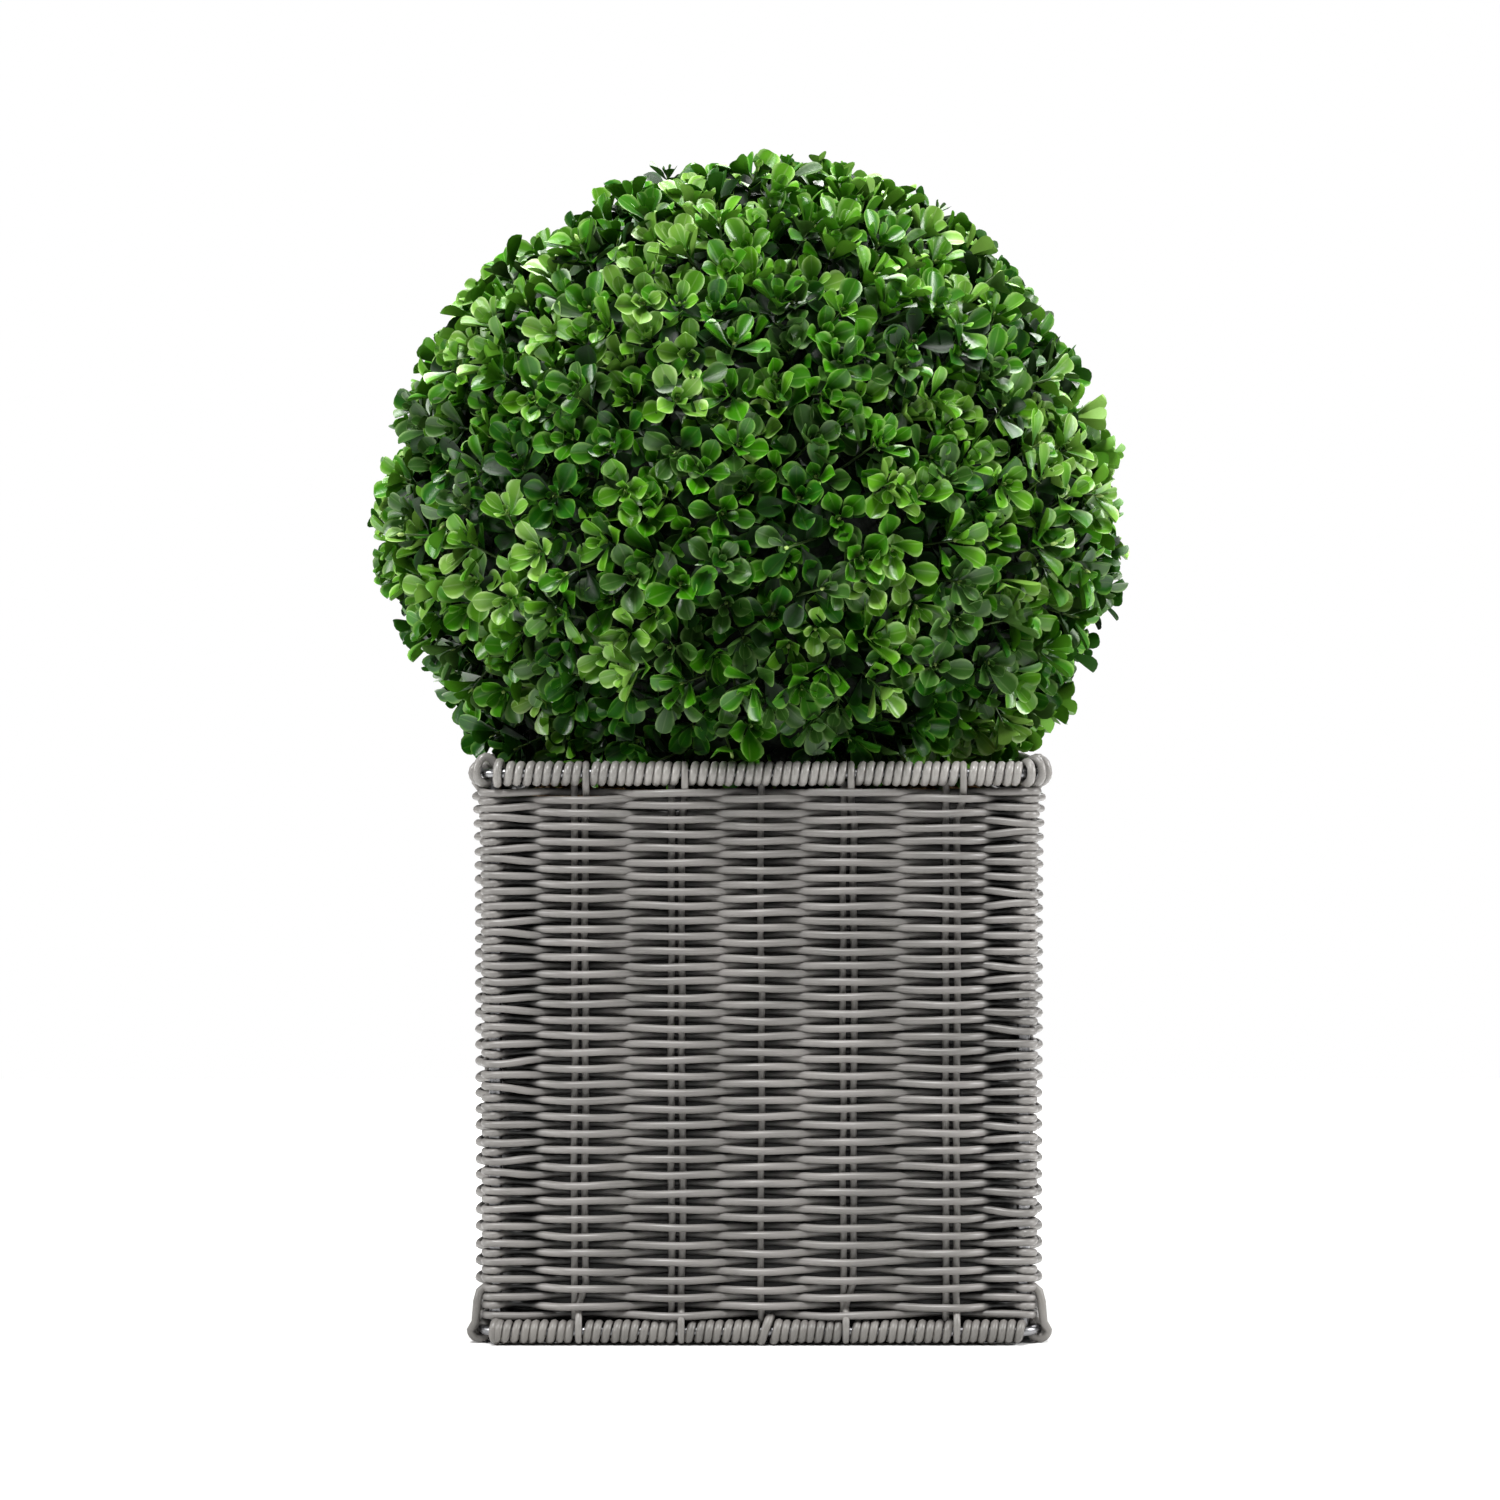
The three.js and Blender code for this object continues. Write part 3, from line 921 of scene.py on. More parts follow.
    def course(self, number: int) -> np.ndarray:
        """The closed line of one course.

        Args:
            number: The course's number from the bottom.

        Returns:
            Its points, once round the planter.
        """
        sides = []
        for quarter in range(4):
            x, out = self.reach(number, quarter)
            lift = self.drawn_aside(number, x, quarter)
            side = np.column_stack([x, -out, lift])
            line, bend = self.inside if self.passes_inside(number, quarter + 1) else self.outside
            angle = np.linspace(0, math.pi / 2, 6)[1:-1]
            height = np.full(len(angle), lift[-1])
            arc = np.column_stack([line + bend * np.sin(angle), -line - bend * np.cos(angle), height])
            sides.append(turned(np.vstack([side, arc]), quarter))
        path = np.vstack(sides)
        around = np.linspace(0, 2 * math.pi, len(path), endpoint=False)
        for waves, share in self.waves:
            shift = self.random.uniform(0, 2 * math.pi)
            path[:, 2] += self.wobble * share * np.sin(waves * around + shift)
        path[:, 2] += self.heights[number]
        spread, fade = self.flare
        path[:, :2] *= 1 + spread / self.plane * math.exp((self.heights[number] - self.top) / fade)
        return path

    def build_courses(self) -> None:
        """Makes the courses, joined into a few pieces from the bottom up."""
        strand = COURSE_STRAND.material()
        paths = [self.course(number) for number in range(self.courses)]
        nodes = [f"course_{number:02d}" for number in range(1, 25)]
        tubes = Tubes(self.strand, rings=3, closed=True)
        bands = [np.array_split(items, self.pieces) for items in (range(self.courses), nodes)]
        for i, (band, stood_for) in enumerate(zip(*bands)):
            mesh = tubes.mesh([paths[number] for number in band], strand)
            placed(f"woven_courses_{i + 1}", mesh, "rattan", *map(str, stood_for))

    def rim_end(self, x: float, rim: Rim) -> np.ndarray:
        """The end of a stake's strand that passes in front of a rim and over it.

        Args:
            x: Its place along the side.
            rim: The rim that it passes over.

        Returns:
            Its points from the wall to the rim's far side, for the front side.
        """
        wind = self.rods.rod_radius + self.over_gap
        front = self.rods.line + wind
        below, share = np.array(self.approach).T
        out = self.plane + (front - self.plane) * ease(share)
        angle = np.linspace(0, self.wrap, 9)
        y = np.concatenate([-out, -self.rods.line - wind * np.cos(angle)])
        z = np.concatenate([-below, wind * np.sin(angle)]) * (1 if rim is Rim.TOP else -1)
        z = np.maximum(z + self.rods.heights[rim], self.stake_radius)
        return np.column_stack([np.full(len(y), x), y, z])

    def stake_line(self, x: float, ends: tuple[float | None, float | None]) -> np.ndarray:
        """The line of one upright strand on the front side.

        Args:
            x: Its place along the side.
            ends: Where it passes over the bottom and the top rim, or None where it ends behind it.

        Returns:
            Its points from the bottom up.
        """
        low, high = self.rods.heights
        upright = np.linspace(low + self.upright, high - self.upright, 9)
        drift = self.random.uniform(-1, 1, len(upright)) * self.drift
        short, inwards = self.tucked
        parts = [np.column_stack([x + drift, np.full(len(upright), -self.plane), upright])]
        for rim, end, height in zip(Rim, ends, (low + short, high - short)):
            hidden = np.array([[x, -self.plane + inwards, height]])
            part = hidden if end is None else self.rim_end(end, rim)
            parts = [part[::-1], *parts] if rim is Rim.BOTTOM else [*parts, part]
        return np.vstack(parts)

    def build_stakes(self) -> None:
        """Makes the stakes of each side as one piece."""
        strand = STAKE_STRAND.material()
        for quarter, side in enumerate(SIDES):
            paths = []
            for number, stake in enumerate(self.stakes):
                offsets = [0.0] if number == MIDDLE_STAKE else [-self.pair_gap, self.pair_gap]
                for offset in offsets:
                    over = [stake + rim[number] if offset > 0 else None for rim in self.over_rims]
                    paths.append(turned(self.stake_line(stake + offset, tuple(over)), quarter))
            mesh = Tubes(self.stake_radius, rings=2).mesh(paths, strand)
            placed(f"stakes_{side}", mesh, "rattan", *[f"stake_{side}_{i}" for i in range(1, 6)])

    def build(self) -> None:
        """Makes the whole wall."""
        self.build_courses()
        self.build_stakes()


@dataclass(frozen=True)
class RimWinding:
    """How the strand is wound round one hoop.

    Attributes:
        rim: The rim that it makes.
        finish: The strand's finish.
        pitch: The distance from turn to turn.
        press: How far the strand is pressed onto the rod.
        ends: Where the close turns begin and end along a side.
        corners: For every other corner, where each loose turn lies along the hoop, and how far it rises.
        slack: How far those stand off the rod.
    """

    rim: Rim
    finish: SpeckledFinish
    pitch: float
    press: float
    ends: tuple[float, float]
    corners: tuple[tuple[tuple[float, float], ...], tuple[tuple[float, float], ...]]
    slack: float


@dataclass
class Rims:
    """The strand wound round both hoops, with loose turns at the corners.

    Attributes:
        rods: The steel frame that it is wound round.
        weave: The wall, whose stakes' ends lie between the turns.
        strand: The strand's radius.
        turn_steps: Points in a close turn, and in a loose one.
        sway: How unevenly the close turns lie along the hoop, and off it.
        beats: How fast that changes from turn to turn, in radians.
        dwell: How long a loose turn stays at its place before it moves on to the next.
        knot: Where two strands meet on the bottom rim, and how far each reaches past that place.
        loose_middle: How far the two loose turns there stand up.
        tail: For the strand down a bottom corner, how high each point is, and how far off the post.
        tail_wrap: How far it then goes round the hoop, in radians, and how far off it leans.
        windings: How each hoop is wound.
    """

    rods: RodFrame
    weave: Weave
    strand: float = 2.16 * MM
    turn_steps: tuple[int, int] = (14, 18)
    sway: tuple[float, float] = (0.28 * MM, 0.1 * MM)
    beats: tuple[float, float] = (1.7, 2.3)
    dwell: float = 0.13
    knot: tuple[float, float] = (5.5 * MM, 1.3 * MM)
    loose_middle: tuple[float, float] = (3.8 * MM, 1.6 * MM)
    tail: tuple[tuple[float, float], ...] = (
        (30 * MM, 3 * MM), (26 * MM, 8.2 * MM), (21 * MM, 9.5 * MM), (16 * MM, 9.9 * MM),
        (11 * MM, 10.4 * MM),
    )
    tail_wrap: tuple[float, float] = (-1.35 * math.pi, 1.2 * MM)
    windings: tuple[RimWinding, ...] = (
        RimWinding(
            Rim.BOTTOM, BOTTOM_RIM_SHADED_STRAND, pitch=4.5 * MM, press=0.85 * MM, ends=(-134 * MM, 133.2 * MM),
            corners=(((6 * MM, 0.0),), ((-6 * MM, 0.0), (5.2 * MM, 0.0))), slack=0.8 * MM,
        ),
        RimWinding(
            Rim.TOP, STRAND, pitch=4.5 * MM, press=0.5 * MM, ends=(-128.3 * MM, 131.8 * MM),
            corners=(
                ((-3.6 * MM, 0.0), (1.6 * MM, 2 * MM), (7.6 * MM, 2.6 * MM)),
                ((-1.7 * MM, 4 * MM), (7.2 * MM, 0.6 * MM)),
            ),
            slack=0.9 * MM,
        ),
    )

    def __post_init__(self) -> None:
        """Starts the seeded unevenness of the turns."""
        self.random = np.random.default_rng(8)

    def radius(self, winding: RimWinding) -> float:
        """How far the strand's middle lies from the rod's."""
        return self.rods.rod_radius + self.strand - winding.press

    def close_turns(self, start: float, end: float, winding: RimWinding, lift: float) -> np.ndarray:
        """One stretch of close turns on the front side.

        Args:
            start: Where it begins along the side.
            end: Where it ends.
            winding: How the hoop is wound.
            lift: How far its first turn stands up, or its last one where this is negative.

        Returns:
            The strand's points.
        """
        turns = max(1, round((end - start) / winding.pitch) - 1)
        half = (end - start) / (turns + 1) / 2
        angle = np.linspace(0, 2 * math.pi * turns, turns * self.turn_steps[0] + 1) - math.pi
        x = np.linspace(start + half, end - half, len(angle))
        turn = (angle + math.pi) / (2 * math.pi)
        raised = np.clip(1.15 - (turns - turn if lift < 0 else turn), 0, 1) * abs(lift)
        aside, off = [np.sin(turn * beat + self.random.uniform(0, 6)) for beat in self.beats]
        x += self.sway[0] * aside
        radius = self.radius(winding) + self.sway[1] * (1 + off)
        y = -self.rods.line - radius * np.cos(angle)
        z = (radius + raised) * np.sin(angle)
        x += 0.5 * raised * np.sin(angle)
        z = np.maximum(z + self.rods.heights[winding.rim], self.strand)
        return np.column_stack([x, y, z])

    def stretches(self, winding: RimWinding) -> list[tuple[float, float, float]]:
        """The stretches of close turns between the places where stakes' ends lie.

        Args:
            winding: How the hoop is wound.

        Returns:
            Each stretch's beginning and end, and the lift of its first or last turn.
        """
        over = self.weave.over_rims[winding.rim]
        ends = [stake + shift for stake, shift in zip(self.weave.stakes, over)]
        ends.pop(MIDDLE_STAKE)
        edges = [winding.ends[0], *ends, winding.ends[1]]
        spans = [(start, end, 0.0) for start, end in zip(edges, edges[1:])]
        if winding.rim is Rim.BOTTOM:
            start, end, _ = spans.pop(MIDDLE_STAKE)
            place, overlap = self.knot
            spans.append((start, place + overlap, -self.loose_middle[0]))
            spans.append((place - overlap, end, self.loose_middle[1]))
        return sorted(spans)

    def loose_turns(self, turns: Sequence[tuple[float, float]], winding: RimWinding) -> np.ndarray:
        """Loose turns near the right-hand front corner.

        Args:
            turns: Where each lies along the hoop from the middle of the corner, and how far it rises.
            winding: How the hoop is wound.

        Returns:
            The strand's points.
        """
        places, rises = np.array(turns).T
        turn = np.linspace(-0.5, len(places) - 0.5, len(places) * self.turn_steps[1] + 1)
        spot = np.interp(turn - self.dwell * np.sin(2 * math.pi * turn), np.arange(len(places)), places)
        rise = np.interp(turn, np.arange(len(places)), rises)
        angle = 2 * math.pi * turn
        middle, out = self.rods.along(spot)
        radius = self.radius(winding) + winding.slack
        path = middle + out * np.cos(angle)[:, None] * radius
        path[:, 2] += radius * np.sin(angle) + rise * np.maximum(np.sin(angle), 0)
        path[:, 2] = np.maximum(path[:, 2] + self.rods.heights[winding.rim], self.strand)
        return path

    def corner_tail(self, place: float, winding: RimWinding) -> np.ndarray:
        """The strand that comes down the wall's corner and round the bottom hoop's bend.

        Args:
            place: Where it passes round the hoop, from the middle of the corner.
            winding: How the hoop is wound.

        Returns:
            The strand's points.
        """
        wrap, leaning = self.tail_wrap
        angle = np.linspace(0, wrap, 15)
        middle, out = self.rods.along(np.full(len(angle), place))
        radius = self.radius(winding) + winding.slack
        ring = middle + out * (np.cos(angle)[:, None] * radius + leaning)
        ring[:, 2] = np.maximum(radius * np.sin(angle) + self.rods.heights[winding.rim], self.strand)
        height, off = np.array(self.tail).T
        tail = self.rods.post_line * np.array([1, -1, 0]) + out[0] * off[:, None]
        tail[:, 2] = height
        return np.vstack([tail, ring])

    def build(self) -> None:
        """Makes a piece for each winding, and one for the loose turns of each rim."""
        tubes = Tubes(self.strand, rings=2)
        for winding in self.windings:
            strand = winding.finish.material()
            rim = winding.rim.name.lower()
            loops = []
            for quarter, side in enumerate(SIDES):
                paths = [self.close_turns(a, b, winding, lift) for a, b, lift in self.stretches(winding)]
                mesh = tubes.mesh([turned(path, quarter) for path in paths], strand)
                placed(f"wound_rim_{rim}_{side}", mesh, "rattan", f"rim_winding_{rim}_{side}")
                turns = winding.corners[quarter % 2]
                if winding.rim is Rim.BOTTOM:
                    loops.append(turned(self.corner_tail(turns[0][0], winding), quarter))
                    turns = turns[1:]
                if turns:
                    loops.append(turned(self.loose_turns(turns, winding), quarter))
            placed(f"corner_turns_{rim}", tubes.mesh(loops, strand), "rattan")


@dataclass
class Contents:
    """The liner, the coir in it and the ball's short stem.

    Attributes:
        wall: The liner's thickness.
        corner: The radius of its upright corners.
        edge: The radius of its other edges.
        relief: How unevenly the coir lies.
        lumps: The coir's lumps in a metre.
        slices: How many slices the coir is cut into along each side, to take its relief.
        fibres: How many loose fibres lie on the coir.
        fibre: A fibre's radius.
        scatter: How far from the middle the fibres' own middles lie.
        half_fibre: The least and the greatest half length of a fibre.
        stray: How far a fibre stands up.
        taper: The stem's radius at its top, as a share of that at its foot.
        bark: The bark's ridges in a metre, round the stem and along it.
        groove: How deep its grooves are, as a share of the stem's radius.
    """

    wall: float = 2.5 * MM
    corner: float = 12 * MM
    edge: float = 0.6 * MM
    relief: float = 4 * MM
    lumps: float = 90
    slices: int = 41
    fibres: int = 900
    fibre: float = 0.28 * MM
    scatter: float = 120 * MM
    half_fibre: tuple[float, float] = (5 * MM, 14 * MM)
    stray: float = 1.5 * MM
    taper: float = 0.78
    bark: tuple[float, float] = (260, 50)
    groove: float = 0.04

    @staticmethod
    def cut_box(low: Vector, high: Vector, corner: float) -> bmesh.types.BMesh:
        """A box with rounded upright edges.

        Args:
            low: Its lowest corner.
            high: Its highest corner.
            corner: The radius of the upright edges.

        Returns:
            The box as a bmesh.
        """
        bm = bmesh.new()
        size = high - low
        middle = Matrix.Translation((low + high) / 2)
        bmesh.ops.create_cube(bm, size=1, matrix=middle @ Matrix.Diagonal((*size, 1)))
        upright = [e for e in bm.edges if abs(e.verts[0].co.z - e.verts[1].co.z) > size.z / 2]
        rounded(bm, upright, corner, segments=5)
        return bm

    def sunk(self, edge: np.ndarray | float, lump: float) -> np.ndarray | float:
        """How far the coir's top sinks, at a share of the way out to its side and with a lump's share."""
        return self.relief * (lump + 1.6 * edge**6)

    def build_liner(self) -> None:
        """Makes the liner: a thin moulded box, open at the top."""
        low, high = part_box("liner")
        bm = self.cut_box(low, high, self.corner)
        lid = max(bm.faces, key=lambda f: f.calc_center_median().z)
        bmesh.ops.inset_region(bm, faces=[lid], thickness=self.wall, use_even_offset=True)
        made = bmesh.ops.extrude_face_region(bm, geom=[lid])
        floor = [v for v in made["geom"] if isinstance(v, bmesh.types.BMVert)]
        bmesh.ops.delete(bm, geom=[lid], context="FACES_ONLY")
        bmesh.ops.translate(bm, verts=floor, vec=(0, 0, low.z + self.wall - high.z))
        sharp = [e for e in bm.edges if len(e.link_faces) == 2 and e.calc_face_angle() > 1.2]
        rounded(bm, sharp, self.edge, segments=2)
        bmesh.ops.recalc_face_normals(bm, faces=bm.faces)
        placed("plastic_liner", from_bmesh(bm, BLACK_PLASTIC.material()), "liner_plastic", "liner")

    def build_coir(self) -> None:
        """Makes the coir: a block with a loose, lumpy top, and the fibres that lie on it."""
        low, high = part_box("filling")
        coir = COIR.material()
        bm = self.cut_box(low, high, self.corner - self.wall)
        for axis in (0, 1):
            sliced(bm, axis, low[axis], high[axis], self.slices)
        for v in bm.verts:
            if v.co.z > high.z - MM:
                edge = max(abs(v.co.x), abs(v.co.y)) / (high.x - MM)
                v.co.z -= self.sunk(edge, 0.5 - 0.5 * noise.noise(v.co * self.lumps))
        placed("coir_filling", from_bmesh(bm, coir), "coir", "filling")
        random = np.random.default_rng(21)
        paths = []
        for _ in range(self.fibres):
            middle = random.uniform(-self.scatter, self.scatter, 2)
            heading = random.uniform(0, math.pi)
            bend = random.uniform(-2, 2)
            along = np.linspace(-1, 1, 6) * random.uniform(*self.half_fibre)
            angle = heading + bend * along / self.half_fibre[1]
            x = np.clip(middle[0] + along * np.cos(angle), low.x + MM, high.x - MM)
            y = np.clip(middle[1] + along * np.sin(angle), low.y + MM, high.y - MM)
            edge = np.maximum(abs(x), abs(y)) / high.x
            z = high.z - self.sunk(edge, 0.4) + self.stray * random.uniform(-1, 1, 6)
            paths.append(np.column_stack([x, y, np.minimum(z, high.z + self.stray)]))
        placed("coir_fibres", Tubes(self.fibre, rings=0).mesh(paths, coir), "coir")

    def build_stem(self) -> None:
        """Makes the stem, with the relief of its bark."""
        low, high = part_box("stem")
        bm = bmesh.new()
        height, radius = high.z - low.z, (high.x - low.x) / 2
        bmesh.ops.create_cone(
            bm, cap_ends=True, segments=48, radius1=radius, radius2=radius * self.taper, depth=height,
            matrix=Matrix.Translation((0, 0, (low.z + high.z) / 2)),
        )
        sliced(bm, 2, low.z, high.z, slices=39)
        around, along = self.bark
        for v in bm.verts:
            ridge = noise.noise(Vector((v.co.x * around, v.co.y * around, v.co.z * along)))
            v.co.xy *= 1 - self.groove + self.groove * ridge
        placed("stem_bark", from_bmesh(bm, BARK.material()), "stem_wood", "stem")

    def build(self) -> None:
        """Makes all three."""
        self.build_liner()
        self.build_coir()
        self.build_stem()


# ---------------------------------------------------------------- leaf ball


@dataclass(frozen=True)
class LeafPair:
    """Two leaves that face each other on a twig.

    Attributes:
        length: A leaf's length.
        splay: Its angle from the twig, in radians.
        below: Its distance below the twig's tip.
    """

    length: float
    splay: float
    below: float


@dataclass(frozen=True)
class Dent:
    """A place where the ball is clipped a little shorter.

    Attributes:
        way: Its direction from the ball's middle.
        depth: How much shorter it is there.
        width: How far it reaches around, in radians.
    """

    way: tuple[float, float, float]
    depth: float
    width: float


@dataclass
class LeafShape:
    """A spoon-shaped leaf of a few faces, closed underneath.

    Attributes:
        width: Its width, as a share of its length.
        cup: How far its margins rise.
        curl: How far its tip bends back.
        dish: How far its middle sinks below its root and tip.
        thickness: Its thickness at the midrib.
        outline: From root to tip, how far along it each row lies and how wide it is, as shares.
    """

    width: float
    cup: float
    curl: float
    dish: float = 0.1
    thickness: float = 0.035
    outline: tuple[tuple[float, float], ...] = (
        (0.0, 0.0), (0.18, 0.16), (0.36, 0.42), (0.54, 0.78), (0.7, 0.98), (0.83, 0.97), (0.93, 0.76),
        (0.985, 0.4), (1.0, 0.0),
    )

    def build(self) -> bmesh.types.BMesh:
        """Shapes one leaf of length 1 along +Y, with its hollow side up.

        Returns:
            The leaf. Its map gives the way across it, from midrib to margin, and the way along it.
        """
        bm = bmesh.new()
        rows = len(self.outline) - 1
        bmesh.ops.create_grid(bm, x_segments=2, y_segments=rows, size=1)
        for v in bm.verts:
            along, half = self.outline[round((v.co.y + 1) / 2 * rows)]
            side = round(v.co.x)
            rise = self.cup * half * abs(side) - self.curl * along * along + self.dish * (along - 0.5) ** 2
            v.co = (side * half * self.width / 2, along, rise)
        bmesh.ops.remove_doubles(bm, verts=bm.verts, dist=MERGE_DISTANCE)
        copy = bmesh.ops.duplicate(bm, geom=everything(bm))["geom"]
        under = [f for f in copy if isinstance(f, bmesh.types.BMFace)]
        bmesh.ops.reverse_faces(bm, faces=under)
        for f in under:
            f.material_index = 1
        ribs = [v for v in copy if isinstance(v, bmesh.types.BMVert) and not v.is_boundary]
        bmesh.ops.translate(bm, verts=ribs, vec=(0, 0, -self.thickness))
        bmesh.ops.remove_doubles(bm, verts=bm.verts, dist=MERGE_DISTANCE)
        leaf_map = bm.loops.layers.uv.new("leaf")
        for f in bm.faces:
            for loop in f.loops:
                x, along, _ = loop.vert.co
                on_midrib = abs(x) < MERGE_DISTANCE and along < 1 - MERGE_DISTANCE
                loop[leaf_map].uv = (0.0 if on_midrib else 1.0, along)
        return bm


class Stamp:
    """A small mesh that is repeated many times in one joined mesh."""

    def __init__(self, bm: bmesh.types.BMesh) -> None:
        """Reads the shape that is repeated, and frees it.

        Args:
            bm: The shape. It may have a map named leaf.
        """
        bm.verts.index_update()
        self.points = np.array([v.co for v in bm.verts])
        self.sizes = np.array([len(f.verts) for f in bm.faces])
        self.corners = np.array([v.index for f in bm.faces for v in f.verts])
        self.slots = np.array([f.material_index for f in bm.faces])
        layer = bm.loops.layers.uv.get("leaf")
        self.map = np.array([loop[layer].uv for f in bm.faces for loop in f.loops]) if layer else None
        bm.free()

    def spread(self, axes: np.ndarray, places: np.ndarray) -> dict[str, np.ndarray]:
        """Repeats the shape.

        Args:
            axes: For each copy, its X, Y and Z axes as rows, as long as its scale.
            places: For each copy, where its origin goes.

        Returns:
            The joined points, corners, sizes, slots and map.
        """
        count = len(places)
        points = np.einsum("pk,nkx->npx", self.points, axes) + places[:, None, :]
        shift = np.arange(count)[:, None] * len(self.points)
        joined = {
            "points": points.reshape(-1, 3),
            "corners": (self.corners + shift).ravel(),
            "sizes": np.tile(self.sizes, count),
            "slots": np.tile(self.slots, count),
        }
        if self.map is not None:
            joined["map"] = np.tile(self.map, (count, 1))
        return joined


def joined_mesh(parts: Sequence[dict[str, np.ndarray]], *materials: bpy.types.Material) -> bpy.types.Mesh:
    """Joins spread shapes into one mesh.

    Args:
        parts: What Stamp.spread gave, for one shape or more.
        *materials: The materials, in the order of their slots.

    Returns:
        The mesh, smooth but for its sharp margins.
    """
    shifts = np.cumsum([0] + [len(part["points"]) for part in parts[:-1]])
    joined = {name: np.concatenate([part[name] for part in parts]) for name in parts[0]}
    corners = np.concatenate([part["corners"] + shift for part, shift in zip(parts, shifts)])
    starts = np.concatenate([[0], np.cumsum(joined["sizes"])[:-1]])
    mesh = bpy.data.meshes.new("joined")
    mesh.vertices.add(len(joined["points"]))
    mesh.vertices.foreach_set("co", joined["points"].astype(np.float32).ravel())
    mesh.loops.add(len(corners))
    mesh.loops.foreach_set("vertex_index", corners.astype(np.int32))
    mesh.polygons.add(len(starts))
    mesh.polygons.foreach_set("loop_start", starts.astype(np.int32))
    mesh.polygons.foreach_set("material_index", joined["slots"].astype(np.int32))
    if "map" in joined:
        layer = mesh.uv_layers.new(name="leaf")
        layer.data.foreach_set("uv", joined["map"].astype(np.float32).ravel())
    mesh.update(calc_edges=True)
    dressed(mesh, *materials)
    mesh.set_sharp_from_angle(angle=math.radians(75))
    return mesh


